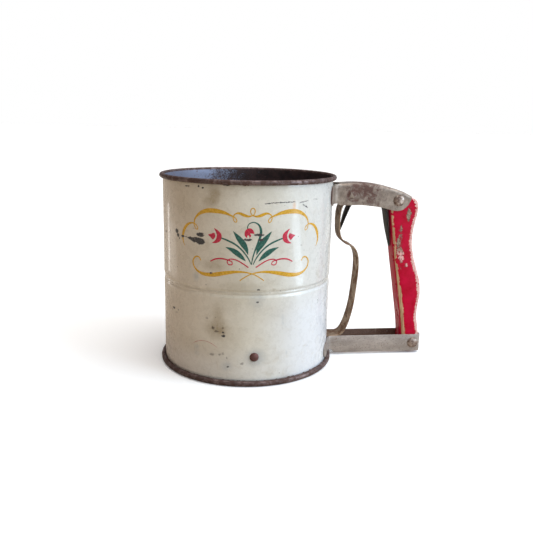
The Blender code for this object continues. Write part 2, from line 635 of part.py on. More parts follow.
def make_top_bracket():
    """Channel open downwards, with an arched web, side plates rounded at the grip and two ears."""
    plate = BRACKET_HALF_WIDTH - BRACKET_SHEET / 2
    ears = ear_stations(TOP_EAR_TIP, TOP_EAR_LOW, TOP_EAR_HIGH)
    edges = [tuple(value * MM for value in station) for station in CHANNEL_STATIONS]
    channel = [(Vector((x, plate)), low, high) for x, low, high in edges]
    stations = ears + channel
    bm = bmesh.new()
    rows = []
    for way in (1, -1):
        path = [Vector((p.x, p.y * way)) for p, _, _ in stations]
        sides = strip_sides(path, BRACKET_SHEET)
        outer, inner = sides if way > 0 else sides[::-1]
        row = []
        for a, b, (_, low, high) in zip(outer, inner, stations):
            web = high - BRACKET_SHEET
            corners = ((a, low), (a, high), (b, high), (b, web), (b, low))
            row.append([bm.verts.new((side.x, side.y, height)) for side, height in corners])
        rows.append(row)
    first_web = len(ears)
    for row in rows:
        for i, (ring, following) in enumerate(zip(row, row[1:])):
            for k in range(5):
                if k == 2 and i >= first_web:
                    continue         # the web joins the plate here
                j = (k + 1) % 5
                bm.faces.new((ring[k], ring[j], following[j], following[k]))
        bm.faces.new(row[0])
        bm.faces.new(row[-1])
    for i in range(first_web, len(stations) - 1):
        for k in (2, 3):
            bm.faces.new((rows[0][i][k], rows[1][i][k], rows[1][i + 1][k], rows[0][i + 1][k]))
    for i in (first_web, len(stations) - 1):
        bm.faces.new((rows[0][i][2], rows[0][i][3], rows[1][i][3], rows[1][i][2]))
    bracket = add_piece("top_bracket", bm, TINNED_STEEL)
    drill_across(bracket, TOP_RIVET, HANDLE_RIVET_RADIUS + GAP)
    drill_across(bracket, PIVOT, PIVOT_PIN_RADIUS + GAP)


def drill_across(piece, centre, radius):
    reach = Vector((0, 12 * MM, 0))
    drill(piece, centre - reach, centre + reach, radius, 16)


# ---------------------------------------------------------------- handle and its fasteners

def make_handle_grip():
    """Flat wooden grip with a finger-waved back, held between the two brackets."""
    back = [(121.0, 123.0), (124.6, 123.0), (127.6, 120.6), (128.9, 116.4), (128.4, 110.0),
            (126.8, 102.5), (125.9, 94.5), (126.3, 86.5), (128.2, 77.0), (131.4, 67.5), (134.3, 58.0),
            (135.4, 48.5), (134.5, 40.0), (134.0, 31.0), (135.2, 23.0), (136.4, 15.5), (136.7, 7.0)]
    bottom = [(135.6, 3.2), (131.5, 1.2), (126.5, 0.4), (123.4, 1.8)]
    front = [(122.3, 6.0), (121.9, 15.0), (119.6, 33.0), (116.4, 50.5), (113.4, 67.5), (111.2, 81.5),
             (109.0, 95.0), (107.2, 108.5), (106.0, 119.0)]
    top = [(106.4, 128.4), (113.5, 126.4), (118.0, 124.6)]
    outline = smooth_path(in_mm(back), 2) + in_mm(bottom) + in_mm(front) + in_mm(top)
    outline = [(point.x, point.y) for point in outline]
    grip = add_piece("handle_grip", extruded(outline, -HANDLE_HALF_WIDTH, HANDLE_HALF_WIDTH, layout_side),
                     RED_WOOD)
    bevel = grip.modifiers.new("edge_round", "BEVEL")
    bevel.width = HANDLE_EDGE_ROUND
    bevel.segments = 2
    bevel.limit_method = "ANGLE"
    bevel.angle_limit = math.radians(50)
    for centre in (TOP_RIVET, LOWER_RIVET):
        drill_across(grip, centre, HANDLE_RIVET_RADIUS + GAP)


def make_cross_rivet(name, centre, shank, head, height):
    """Headed pin across the handle, alike at both ends."""
    seat = BRACKET_HALF_WIDTH + GAP
    upper = round_head(head, height, seat, shank)
    outline = upper + [(r, -z) for r, z in reversed(upper)]
    turn = Matrix.Translation(centre) @ Matrix.Rotation(math.radians(90), 4, "X")
    add_piece(name, turned(outline, 16, turn), RIVET_STEEL)


def make_fasteners():
    for name, centre in (("handle_top_rivet", TOP_RIVET), ("handle_lower_rivet", LOWER_RIVET)):
        make_cross_rivet(name, centre, HANDLE_RIVET_RADIUS, HANDLE_RIVET_HEAD, HANDLE_RIVET_RISE)
    make_cross_rivet("trigger_pivot_pin", PIVOT, PIVOT_PIN_RADIUS, PIVOT_PIN_HEAD, PIVOT_PIN_RISE)


# ---------------------------------------------------------------- build

clear_scene()
LAYOUT = make_layout_empty()
make_body_shell()
make_rim_wire("top_rim_wire", TOP_CURL_RADIUS, True)
make_rim_wire("bottom_rim_wire", BOTTOM_CURL_RADIUS, False)
eyelet_tops = {place: make_screen(place, height) for place, height in SCREEN_HEIGHTS.items()}
make_spindle_group(eyelet_tops)
make_crossbar()
make_crossbar_rivets()
make_drive_bar()
make_trigger()
make_return_spring()
make_lower_bracket()
make_top_bracket()
make_handle_grip()
make_fasteners()
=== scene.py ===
"""The flour sifter's looks: detailed shells, woven screens, printed ornament and worn finishes,
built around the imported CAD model. Pieces are modelled in the can's own layout, millimetres from the
can's axis and foot, and placed on the CAD can."""
import json
import math

import bmesh
import bpy
from mathutils import Matrix, Quaternion, Vector, noise


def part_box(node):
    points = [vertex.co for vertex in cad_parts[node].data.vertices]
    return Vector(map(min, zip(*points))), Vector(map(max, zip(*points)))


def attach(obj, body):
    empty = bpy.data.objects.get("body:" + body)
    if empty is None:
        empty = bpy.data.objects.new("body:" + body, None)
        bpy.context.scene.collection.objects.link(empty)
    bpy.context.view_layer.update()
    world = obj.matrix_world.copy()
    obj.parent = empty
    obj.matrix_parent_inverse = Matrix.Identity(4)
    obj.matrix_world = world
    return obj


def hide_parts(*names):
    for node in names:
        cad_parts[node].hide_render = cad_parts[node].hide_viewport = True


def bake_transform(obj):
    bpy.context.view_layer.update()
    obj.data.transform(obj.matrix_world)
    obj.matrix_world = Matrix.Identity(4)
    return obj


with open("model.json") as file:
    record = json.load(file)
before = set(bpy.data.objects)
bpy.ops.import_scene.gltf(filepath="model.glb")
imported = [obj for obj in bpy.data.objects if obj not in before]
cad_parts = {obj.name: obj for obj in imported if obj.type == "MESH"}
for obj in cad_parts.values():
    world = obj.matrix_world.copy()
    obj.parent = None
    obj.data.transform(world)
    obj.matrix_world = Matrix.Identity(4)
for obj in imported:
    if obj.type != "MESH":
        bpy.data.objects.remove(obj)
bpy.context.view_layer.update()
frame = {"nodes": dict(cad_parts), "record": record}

MM = 0.001

# ---- the can's sizes in millimetres, partly from the frame

can_low, can_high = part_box("body_shell")
AXIS = Vector(((can_low.x + can_high.x) / 2, (can_low.y + can_high.y) / 2, can_low.z))
CAN_HEIGHT = (can_high.z - can_low.z) / MM
FOOT_CURL = 1.97                     # outer radius of the rolled foot
TOP_CURL = 1.65                      # outer radius of the rolled rim
CURL_SHEET = 0.6
CAN_WALL = 0.8
CAN_INNER = (can_high.x - can_low.x) / 2 / MM - 2 * FOOT_CURL
CAN_RADIUS = CAN_INNER + CAN_WALL
BEAD_HEIGHT = 65.0
BEAD_DEPTH = 1.1
BEAD_HALF_WIDTH = 3.2
BEAD_RIB = 0.65
BEAD_RIB_WIDTH = 0.9
TAIL_SLOT = (9.4, 16.6)              # heights of the slot for the trigger's tail
TAIL_SLOT_HALF = 7.9
BRACKET_SHEET = 0.8
RIGHT_ANGLE = math.pi / 2


def node_range(node, axis):
    """A CAD node's extent along one axis, in the can's layout."""
    low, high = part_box(node)
    return (low[axis] - AXIS[axis]) / MM, (high[axis] - AXIS[axis]) / MM


# ---- placing pieces

def link(thing):
    """Put an object in the scene."""
    bpy.context.scene.collection.objects.link(thing)


def new_mesh(name, bm):
    """Mesh with its faces turned outwards. The bmesh is used up."""
    mesh = bpy.data.meshes.new(name)
    bmesh.ops.recalc_face_normals(bm, faces=bm.faces)
    bm.to_mesh(mesh)
    bm.free()
    return mesh


def new_object(name, mesh, material, smooth_angle):
    """Object with one material, smooth up to an angle in degrees."""
    mesh.shade_smooth()
    mesh.set_sharp_from_angle(angle=math.radians(smooth_angle))
    mesh.materials.append(material)
    made = bpy.data.objects.new(name, mesh)
    link(made)
    return made


def finish_piece(name, mesh, material, body, slot, replaces=(), smooth_angle=40.0):
    """Make a piece from a mesh in layout millimetres and let it ride on a CAD body."""
    mesh.transform(Matrix.Scale(MM, 4))
    piece = new_object(name, mesh, material, smooth_angle)
    piece.location = AXIS
    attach(piece, body)
    if replaces:
        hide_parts(*replaces)
    return piece


def finish_mesh(name, bm, *settings):
    """The same from a bmesh."""
    return finish_piece(name, new_mesh(name, bm), *settings)


# ---- shape builders

def arc(centre, radius, start, end, steps):
    """Points on an arc between two angles in degrees."""
    turns = [math.radians(start + (end - start) * i / steps) for i in range(steps + 1)]
    return [(centre[0] + radius * math.cos(a), centre[1] + radius * math.sin(a)) for a in turns]


def smooth_path(points, steps):
    """Catmull-Rom curve through open points."""
    points = [Vector(p) for p in points]
    padded = [2 * points[0] - points[1]] + points + [2 * points[-1] - points[-2]]
    path = []
    for before, start, end, after in zip(padded, padded[1:], padded[2:], padded[3:]):
        for i in range(steps):
            t = i / steps
            path.append(0.5 * (2 * start + (end - before) * t
                               + (2 * before - 5 * start + 4 * end - after) * t ** 2
                               + (3 * start - before - 3 * end + after) * t ** 3))
    path.append(points[-1])
    return path


def side_of(path, i):
    """Unit direction across a path at one of its points."""
    run = path[min(i + 1, len(path) - 1)] - path[max(i - 1, 0)]
    return Vector((-run.y, run.x)).normalized()


def loft(bm, rings, closed_ring=True, caps=True):
    """Faces between successive rings of vertices."""
    count = len(rings[0])
    for ring, following in zip(rings, rings[1:]):
        for i in range(count if closed_ring else count - 1):
            j = (i + 1) % count
            bm.faces.new((ring[i], ring[j], following[j], following[i]))
    if caps:
        bm.faces.new(rings[0])
        bm.faces.new(rings[-1])


def turned(outline, segments, offset=None, place=Matrix.Identity(4)):
    """Turn a closed outline of (radius, height) about the vertical axis. `offset` adds to the radius
    by turn and height."""
    bm = bmesh.new()
    rings = []
    for radius, height in outline:
        ring = []
        for i in range(segments if radius > 1e-6 else 1):
            turn = 2 * math.pi * i / segments
            reach = radius + (offset(turn, height) if offset else 0.0)
            point = Vector((reach * math.cos(turn), reach * math.sin(turn), height))
            ring.append(bm.verts.new(place @ point))
        rings.append(ring)
    for ring, following in zip(rings, rings[1:] + rings[:1]):
        for i in range(segments):
            j = i + 1
            corners = dict.fromkeys((ring[i % len(ring)], ring[j % len(ring)],
                                     following[j % len(following)], following[i % len(following)]))
            if len(corners) > 2:
                bm.faces.new(list(corners))
    return bm


def rounded_section(thickness, low, high, radius, steps=3):
    """Rounded rectangle: across the sheet by `thickness`, along its width from low to high."""
    half = thickness / 2
    radius = min(radius, half * 0.98, (high - low) / 2)
    corners = ((half - radius, high - radius), (-half + radius, high - radius),
               (-half + radius, low + radius), (half - radius, low + radius))
    section = []
    for quarter, corner in enumerate(corners):
        section += arc(corner, radius, 90 * quarter, 90 * quarter + 90, steps)
    return section


def bent_strip(path, thickness, spans, layout, edge=0.3):
    """Strip of sheet bent along a path in two directions, with rounded edges. `spans` holds its two
    edges at each point, and `layout` maps (u, v, w) to space, with w across the strip."""
    bm = bmesh.new()
    rings = []
    for i, (point, (low, high)) in enumerate(zip(path, spans)):
        ring = []
        for across, along in rounded_section(thickness, low, high, edge):
            side = point + side_of(path, i) * across
            ring.append(bm.verts.new(layout(side.x, side.y, along)))
        rings.append(ring)
    loft(bm, rings)
    return bm


def plan_view(u, v, w):
    return u, v, w


def side_view(u, v, w):
    return u, w, v


def join(bm, other):
    """Add another bmesh's faces to this one."""
    mesh = bpy.data.meshes.new("joined")
    other.to_mesh(mesh)
    other.free()
    bm.from_mesh(mesh)
    bpy.data.meshes.remove(mesh)


# ---- shader writing

class Shader:
    """Short hand for writing a node material."""

    def __init__(self, name):
        self.material = bpy.data.materials.new(name)
        self.material.use_nodes = True
        self.tree = self.material.node_tree

    def feed(self, socket, value):
        if isinstance(value, bpy.types.NodeSocket):
            self.tree.links.new(value, socket)
        elif hasattr(value, "__len__") and socket.type == "RGBA":
            socket.default_value = (*value[:3], 1.0)
        else:
            socket.default_value = value

    def fill(self, node, inputs):
        for name, value in inputs.items():
            self.feed(node.inputs[name.replace("_", " ")], value)

    def node(self, kind, **inputs):
        made = self.tree.nodes.new(kind)
        self.fill(made, inputs)
        return made

    def operate(self, kind, operation, *values):
        made = self.tree.nodes.new(kind)
        made.operation = operation
        for socket, value in zip(made.inputs, values):
            self.feed(socket, value)
        return made.outputs

    def math(self, operation, *values):
        return self.operate("ShaderNodeMath", operation, *values)[0]

    def times(self, first, *others):
        for other in others:
            first = self.math("MULTIPLY", first, other)
        return first

    def plus(self, first, *others):
        for other in others:
            first = self.math("ADD", first, other)
        return first

    def minus(self, a, b):
        return self.math("SUBTRACT", a, b)

    def size(self, value):
        return self.math("ABSOLUTE", value)

    def either(self, first, *others):
        """The strongest of several masks."""
        for other in others:
            first = self.math("MAXIMUM", first, other)
        return first

    def vector(self, operation, a, b=(0, 0, 0)):
        return self.operate("ShaderNodeVectorMath", operation, a, b)["Vector"]

    def scale(self, vector, factors):
        return self.vector("MULTIPLY", vector, factors)

    def length(self, vector):
        return self.operate("ShaderNodeVectorMath", "LENGTH", vector)["Value"]

    def position(self):
        """Object coordinates in millimetres."""
        return self.scale(self.node("ShaderNodeTexCoord").outputs["Object"], (1000, 1000, 1000))

    def facing(self):
        """The surface's direction in object coordinates."""
        return self.split(self.node("ShaderNodeTexCoord").outputs["Normal"])

    def split(self, vector):
        return self.node("ShaderNodeSeparateXYZ", Vector=vector).outputs

    def join(self, x, y):
        return self.node("ShaderNodeCombineXYZ", X=x, Y=y).outputs[0]

    def noise(self, vector, scale, detail=4.0, roughness=0.55, distortion=0.0, output="Fac"):
        return self.node("ShaderNodeTexNoise", Vector=vector, Scale=scale, Detail=detail,
                         Roughness=roughness, Distortion=distortion).outputs[output]

    def wander(self, vector, scale, detail, roughness, reach):
        """A position moved up to half of `reach` each way, which makes outlines uneven."""
        colour = self.noise(vector, scale, detail, roughness, output="Color")
        shift = self.scale(self.vector("SUBTRACT", colour, (0.5, 0.5, 0.5)), (*reach, 0))
        return self.vector("ADD", vector, shift)

    def cells(self, vector, scale):
        return self.node("ShaderNodeTexVoronoi", Vector=vector, Scale=scale).outputs["Distance"]

    def ramp(self, value, low, high, start=0.0, end=1.0):
        """Smooth step of a value from one limit to the other."""
        made = self.node("ShaderNodeMapRange", Value=value, From_Min=low, From_Max=high, To_Min=start,
                         To_Max=end)
        made.interpolation_type = "SMOOTHSTEP"
        return made.outputs[0]

    def mix(self, factor, a, b):
        made = self.tree.nodes.new("ShaderNodeMix")
        made.data_type = "RGBA"
        for slot, value in ((0, factor), (6, a), (7, b)):
            self.feed(made.inputs[slot], value)
        return made.outputs[2]

    def blend(self, factor, a, b):
        """Mix of two numbers."""
        made = self.tree.nodes.new("ShaderNodeMix")
        for slot, value in ((0, factor), (2, a), (3, b)):
            self.feed(made.inputs[slot], value)
        return made.outputs[0]

    def bump(self, height, strength, distance):
        return self.node("ShaderNodeBump", Height=height, Strength=strength,
                         Distance=distance * MM).outputs[0]

    def set(self, **inputs):
        self.fill(self.tree.nodes["Principled BSDF"], inputs)
        return self.material


# ---- finishes

def darker(colour, share):
    return tuple(share * part for part in colour)


def worn_metal(name, bright, dull, rust, coverage=0.3, grain=1.0, metallic=0.85, roughness=0.42,
               pits=0.3, streaks=(1, 1, 1), patch=None, bump=0.6, soft=0.12):
    """Old sheet or wire: two tones of metal, rust in patches, dark pits and a fine uneven surface.
    `coverage` is the share under rust, `soft` how gently a patch starts, and `patch` adds a mask of
    heavier rust colour, which on the brackets also stands for painted shade."""
    sh = Shader(name)
    place = sh.position()
    drawn = sh.scale(place, streaks)
    tone = sh.noise(drawn, 0.09 * grain, 5, 0.6)
    fine = sh.noise(drawn, 1.3 * grain, 6, 0.65)
    growth = sh.plus(sh.noise(place, 0.16 * grain, 9, 0.68, 0.4), sh.times(fine, 0.16))
    if patch:
        growth = sh.plus(growth, patch(sh, place))
    edge = 0.72 - 0.42 * coverage
    rusty = sh.ramp(growth, edge, edge + soft)
    pit = sh.times(sh.ramp(sh.cells(place, 0.55 * grain), 0.24, 0.12),
                   sh.ramp(sh.noise(place, 0.2 * grain, 2), 0.62 - 0.3 * pits, 0.7 - 0.3 * pits))
    metal = sh.mix(sh.ramp(tone, 0.32, 0.68), dull, bright)
    metal = sh.mix(sh.ramp(fine, 0.62, 0.3, 0.0, 0.35), metal, darker(dull, 0.45))
    rust_tone = sh.mix(sh.ramp(fine, 0.35, 0.7), darker(rust, 0.5), rust)
    colour = sh.mix(sh.times(rusty, 0.9), metal, rust_tone)
    colour = sh.mix(sh.times(pit, 0.75), colour, darker(rust, 0.25))
    dirt = sh.either(rusty, pit)
    relief = sh.plus(sh.times(fine, 0.5), sh.times(dirt, -0.4))
    gloss = sh.ramp(fine, 0.2, 0.8, roughness - 0.1, roughness + 0.14)
    return sh.set(Base_Color=colour, Metallic=sh.blend(dirt, metallic, 0.05),
                  Roughness=sh.blend(dirt, gloss, 0.82), Normal=sh.bump(relief, bump, 0.12))


def oval(sh, spot, centre, size, soft=0.25):
    """Mask of an oval mark, centred and sized in the plane of `spot`."""
    flat = sh.vector("SUBTRACT", spot, (*centre, 0))
    reach = sh.length(sh.scale(flat, (1 / size[0], 1 / size[1], 0)))
    return sh.ramp(reach, 1 + soft, 1 - soft)


def scratch(sh, spot, start, end, width):
    """Mask of a thin line between two points."""
    run = Vector(end) - Vector(start)
    middle = (Vector(start) + Vector(end)) / 2
    moved = sh.vector("SUBTRACT", spot, (*middle, 0))
    turned_back = sh.node("ShaderNodeVectorRotate", Vector=moved, Angle=-math.atan2(run.y, run.x))
    along, across, _ = sh.split(turned_back.outputs[0])
    return sh.times(sh.ramp(sh.size(across), width, width * 0.4),
                    sh.ramp(sh.size(along), run.length / 2, run.length / 2 - 1.5))


def can_spot(sh):
    """Position on the can's wall: millimetres round from the front, and height."""
    x, y, z = sh.split(sh.position())
    turn = sh.math("ARCTAN2", x, sh.times(y, -1.0))
    return sh.join(sh.times(turn, CAN_RADIUS), z)


# Chips through the enamel: round from the front, height, half length, half height
CHIPS = ((-60.8, 102.9, 2.0, 1.5), (-59.4, 100.3, 1.3, 1.4), (-57.8, 98.4, 0.7, 0.8),
         (-80.2, 99.6, 1.4, 0.9), (-54.2, 100.2, 1.6, 0.8), (-45.6, 99.8, 3.4, 1.0),
         (-38.2, 103.1, 3.1, 1.5), (-41.2, 99.3, 5.0, 1.9), (-38.2, 98.6, 3.6, 2.2),
         (-5.5, 101.6, 3.2, 0.75), (2.0, 104.8, 3.4, 0.8), (3.2, 101.6, 1.9, 0.7),
         (-39.3, 134.8, 0.8, 0.7), (-36.1, 134.0, 0.8, 0.6), (-49.7, 134.2, 1.1, 0.5),
         (-19.2, 136.5, 2.0, 0.6), (-30.0, 78.1, 0.9, 0.6), (-66.2, 47.0, 1.8, 0.8),
         (-60.1, 46.9, 0.8, 0.4), (2.1, 68.1, 0.9, 0.4), (1.8, 59.6, 0.9, 0.5),
         (-21.4, 37.6, 0.8, 0.7), (-21.2, 35.1, 1.4, 0.9), (-18.0, 13.3, 1.0, 0.5))
# Brown stains, grey smudges and rust specks: round from the front, height, half sizes, strength
BROWN_STAINS = (
    (-27.6, 130.2, 3.8, 4.4, 0.60), (-31.0, 125.4, 4.4, 2.8, 0.50), (-24.9, 48.0, 3.4, 8.0, 0.38),
    (-25.8, 39.4, 7.0, 5.8, 0.60), (-22.6, 38.4, 2.4, 2.0, 0.55), (-28.0, 83.5, 6.5, 3.5, 0.45),
    (-10.0, 70.0, 15.0, 3.0, 0.25), (10.0, 52.0, 16.0, 7.0, 0.12), (-45.0, 24.0, 12.0, 6.0, 0.20),
    (-56.0, 120.0, 10.0, 9.0, 0.18), (12.6, 67.7, 1.2, 0.8, 0.40))
GREY_SMUDGES = ((-41.8, 74.1, 2.4, 2.6, 0.40), (1.7, 61.4, 4.8, 6.0, 0.28), (-41.6, 24.3, 1.9, 1.7, 0.30),
                (-41.6, 20.0, 1.9, 1.7, 0.25), (-18.6, 13.8, 3.2, 2.8, 0.35), (19.6, 47.6, 1.1, 2.2, 0.25),
                (19.8, 43.6, 1.0, 1.0, 0.25), (23.2, 22.2, 0.7, 1.4, 0.30), (44.0, 25.4, 1.0, 1.0, 0.25),
                (41.7, 23.2, 1.3, 0.8, 0.25), (0.7, 20.5, 5.6, 5.2, 0.55))
RUST_SPECKS = ((-28.5, 40.2, 1.2, 1.0, 0.85), (-25.9, 37.7, 1.6, 0.7, 0.80), (-21.8, 40.4, 0.6, 0.6, 0.7),
               (-29.7, 20.9, 1.6, 0.8, 0.55), (-23.8, 21.7, 0.9, 0.8, 0.5), (-21.5, 22.5, 0.8, 0.9, 0.5),
               (-18.6, 19.6, 0.7, 0.9, 0.5), (-8.2, 16.2, 1.3, 0.9, 0.6), (-33.2, 46.5, 1.0, 0.8, 0.45),
               (-47.9, 134.4, 0.8, 0.6, 0.8), (-62.0, 44.5, 0.8, 0.6, 0.5))
# Fine scratches: start, end, half width
SCRATCHES = (((4.9, 125.1), (16.3, 125.8), 0.42), ((14.3, 125.6), (27.5, 125.8), 0.46),
             ((29.5, 124.9), (38.5, 126.2), 0.34), ((32.6, 124.3), (38.1, 120.9), 0.55),
             ((42.0, 126.5), (48.7, 126.4), 0.22), ((-54.0, 100.1), (-44.0, 100.3), 0.32),
             ((53.4, 56.8), (52.4, 50.6), 0.22))
# A stray hairline of crimson print: middle, height, half length, how fast it falls away
HAIRLINE = (-35.2, 29.8, 11.5, 0.037)
# A rub of orange: centre, half sizes
ORANGE_RUB = ((26.1, 122.3), (1.1, 3.4))


def chip_mask(sh, spot):
    """Where the enamel and its print are gone down to the dark ground coat."""
    ragged = sh.noise(spot, 0.9, 4, 0.6)
    moved = sh.wander(spot, 0.8, 5.0, 0.7, (3.2, 2.0))
    broken = sh.ramp(ragged, 0.33, 0.45)
    solid = sh.ramp(ragged, 0.30, 0.37)
    masks = [sh.times(oval(sh, moved, (s, z), (long, high), 0.16), solid) for s, z, long, high in CHIPS]
    masks += [sh.times(scratch(sh, moved, *line), broken) for line in SCRATCHES]
    return sh.either(*masks)


def add_marks(sh, spot, mottle, colour, marks, stain, soft):
    """Lay soft, uneven marks of one colour over another colour."""
    uneven = sh.ramp(mottle, 0.25, 0.7, 0.6, 1.3)
    moved = sh.wander(spot, 0.45, 4.0, 0.65, (2.6, 2.6))
    for s, z, long, high, strength in marks:
        mask = sh.times(oval(sh, moved, (s, z), (long, high), soft), strength, uneven)
        colour = sh.mix(mask, colour, stain)
    return colour


def hairline(sh, round_can, height, mottle):
    """Mask of the thin arched line low on the left."""
    middle, top, reach, fall = HAIRLINE
    away = sh.minus(round_can, middle)
    off_line = sh.size(sh.minus(height, sh.minus(top, sh.times(away, away, fall))))
    return sh.times(sh.ramp(off_line, 0.34, 0.10), sh.ramp(sh.size(away), reach, reach - 4.0),
                    sh.ramp(mottle, 0.3, 0.6, 0.35, 0.95))


def enamel_tone_and_painted_light(sh, place, round_can, height):
    """Cream enamel with a cloudy tone, and painted light and shade on it: darker and yellower to the left
    is painted warm shade, cooler to the right is painted cool light, and paler low down is painted light.
    Each change of tone round the can fades out before the middle of its back."""
    cloud = sh.ramp(sh.noise(place, 0.035, 5, 0.6), 0.35, 0.65)
    off_back = sh.ramp(round_can, 185.0, 90.0)
    # Painted light and shade: a cool tint on the right, a darker warm tint on the left, paler lower right and
    # foot.
    cool = sh.times(sh.ramp(round_can, -10.0, 55.0, 0.0, 0.75), off_back)
    painted_warm_shade = sh.times(sh.ramp(round_can, 10.0, -75.0, 0.0, 0.6), sh.ramp(round_can, -185.0, -90.0))
    painted_light_low_right = sh.times(sh.ramp(round_can, -5.0, 45.0), off_back, sh.ramp(height, 72.0, 45.0, 0.0, 0.7))
    painted_light_at_foot = sh.ramp(height, 32.0, 10.0, 0.0, 0.28)
    colour = sh.mix(cloud, (0.60, 0.56, 0.46), (0.70, 0.665, 0.57))
    colour = sh.mix(cool, colour, (0.64, 0.645, 0.64))
    colour = sh.mix(painted_warm_shade, colour, (0.56, 0.445, 0.325))
    return sh.mix(sh.either(painted_light_low_right, painted_light_at_foot), colour, (0.74, 0.76, 0.80))


def enamel_dirt(sh, place, spot, mottle, colour):
    """Grime, stains, specks, stray print, and a darker band along the groove."""
    round_can, height, _ = sh.split(spot)
    grime = sh.ramp(sh.noise(place, 0.09, 7, 0.65, 0.6), 0.52, 0.80, 0.0, 0.55)
    colour = sh.mix(sh.ramp(mottle, 0.48, 0.30, 0.0, 0.22), colour, (0.42, 0.38, 0.31))
    colour = sh.mix(grime, colour, (0.42, 0.35, 0.25))
    colour = add_marks(sh, spot, mottle, colour, BROWN_STAINS, (0.27, 0.195, 0.095), 0.8)
    colour = add_marks(sh, spot, mottle, colour, GREY_SMUDGES, (0.30, 0.33, 0.35), 0.8)
    colour = add_marks(sh, spot, mottle, colour, RUST_SPECKS, (0.06, 0.035, 0.02), 0.5)
    orange = oval(sh, spot, *ORANGE_RUB, 0.8)
    colour = sh.mix(sh.times(orange, 0.45), colour, (0.75, 0.36, 0.14))
    colour = sh.mix(hairline(sh, round_can, height, mottle), colour, (0.42, 0.11, 0.09))
    off_bead = sh.size(sh.minus(height, BEAD_HEIGHT + 0.4))
    in_groove = sh.times(sh.ramp(off_bead, 1.6, 0.2, 0.0, 0.4), sh.ramp(mottle, 0.3, 0.6))
    return sh.mix(in_groove, colour, (0.42, 0.36, 0.26))


def end_rust(sh, place, height):
    """Mask of the rust that creeps from the rolled ends on to the wall."""
    from_end = sh.math("MINIMUM", sh.minus(height, 3.6), sh.minus(CAN_HEIGHT - 3.2, height))
    creep = sh.plus(sh.noise(place, 0.35, 7, 0.7), sh.ramp(from_end, 2.2, -0.4, -0.35, 0.16))
    return sh.ramp(creep, 0.62, 0.68)


def enamel_finish():
    """Old cream enamel, chipped to its dark ground coat, with rust at both ends."""
    sh = Shader("cream_enamel")
    place, spot = sh.position(), can_spot(sh)
    round_can, height, _ = sh.split(spot)
    mottle = sh.noise(place, 0.45, 6, 0.7)
    colour = enamel_dirt(sh, place, spot, mottle, enamel_tone_and_painted_light(sh, place, round_can, height))
    rusty = end_rust(sh, place, height)
    chips = chip_mask(sh, spot)
    specks = sh.times(sh.ramp(sh.cells(place, 0.16), 0.085, 0.05),
                      sh.ramp(sh.noise(place, 0.05, 2), 0.5, 0.58))
    colour = sh.mix(rusty, colour, sh.mix(mottle, (0.06, 0.025, 0.016), (0.20, 0.09, 0.05)))
    colour = sh.mix(sh.times(specks, 0.7), colour, (0.10, 0.07, 0.05))
    colour = sh.mix(chips, colour, sh.mix(mottle, (0.012, 0.011, 0.012), (0.05, 0.045, 0.045)))
    bare = sh.either(chips, rusty, specks)
    relief = sh.plus(sh.times(mottle, 0.10), sh.times(bare, -0.8))
    gloss = sh.ramp(sh.noise(place, 0.25, 5, 0.6), 0.3, 0.7, 0.22, 0.36)
    return sh.set(Base_Color=colour, Roughness=sh.blend(bare, gloss, 0.75), Coat_Weight=0.5,
                  Coat_Roughness=0.06, Normal=sh.bump(relief, 0.35, 0.10))


def print_finish(name, colour, deep):
    """Printed paint of the ornament, worn and chipped with the enamel under it."""
    sh = Shader(name)
    place, spot = sh.position(), can_spot(sh)
    mottle = sh.noise(place, 0.7, 6, 0.7)
    thin = sh.ramp(sh.noise(place, 0.5, 8, 0.75), 0.66, 0.72, 0.0, 0.8)
    chips = chip_mask(sh, spot)
    paint = sh.mix(sh.ramp(mottle, 0.35, 0.65), deep, colour)
    paint = sh.mix(thin, paint, (0.62, 0.55, 0.42))
    paint = sh.mix(chips, paint, (0.03, 0.028, 0.03))
    gloss = sh.ramp(mottle, 0.3, 0.7, 0.20, 0.32)
    return sh.set(Base_Color=paint, Roughness=sh.blend(chips, gloss, 0.75), Coat_Weight=0.2,
                  Coat_Roughness=0.1, Normal=sh.bump(mottle, 0.25, 0.05))


def can_inside_finish():
    """Tin gone brown and black with rust, brighter on the side away from the handle and near the top, where
    its bluish lavender tone is a painted reflection.
    """
    sh = Shader("can_inside_tin_and_painted_reflection")
    place = sh.position()
    x, _, z = sh.split(place)
    fine = sh.noise(place, 0.9, 7, 0.7)
    blotch = sh.noise(place, 0.12, 8, 0.7, 0.5)
    drift = sh.plus(x, sh.times(sh.minus(blotch, 0.5), 90.0), sh.times(sh.minus(fine, 0.5), 130.0),
                    sh.ramp(z, 60.0, 125.0, 26.0, 0.0))
    tinned = sh.ramp(drift, -3.0, -31.0)
    speckle = sh.ramp(sh.plus(fine, sh.times(blotch, 0.4)), 0.74, 0.86, 0.0, 0.7)
    # The bluish lavender tin colour is a painted reflection; `tinned` marks where it shows, more near the top
    # and away from the handle.
    tin = sh.mix(fine, (0.16, 0.17, 0.23), (0.36, 0.37, 0.47))
    tin = sh.mix(speckle, tin, (0.18, 0.06, 0.045))
    rust = sh.mix(sh.ramp(blotch, 0.35, 0.65), (0.012, 0.006, 0.006), (0.052, 0.026, 0.024))
    rust = sh.mix(sh.ramp(fine, 0.52, 0.68, 0.0, 0.6), rust, (0.13, 0.065, 0.055))
    clean = sh.times(tinned, sh.minus(1.0, speckle))
    return sh.set(Base_Color=sh.mix(tinned, rust, tin), Metallic=sh.times(clean, 0.6),
                  Roughness=sh.ramp(fine, 0.3, 0.7, 0.42, 0.68), Normal=sh.bump(fine, 0.6, 0.15))


# Where the grip's side has flaked: along, height, half sizes
GRIP_CHIPS = ((121.6, 110.6, 2.2, 6.0), (115.6, 97.0, 2.0, 5.5), (114.8, 87.0, 1.8, 6.0),
              (117.6, 77.0, 2.4, 8.5), (122.0, 71.5, 1.6, 2.2))


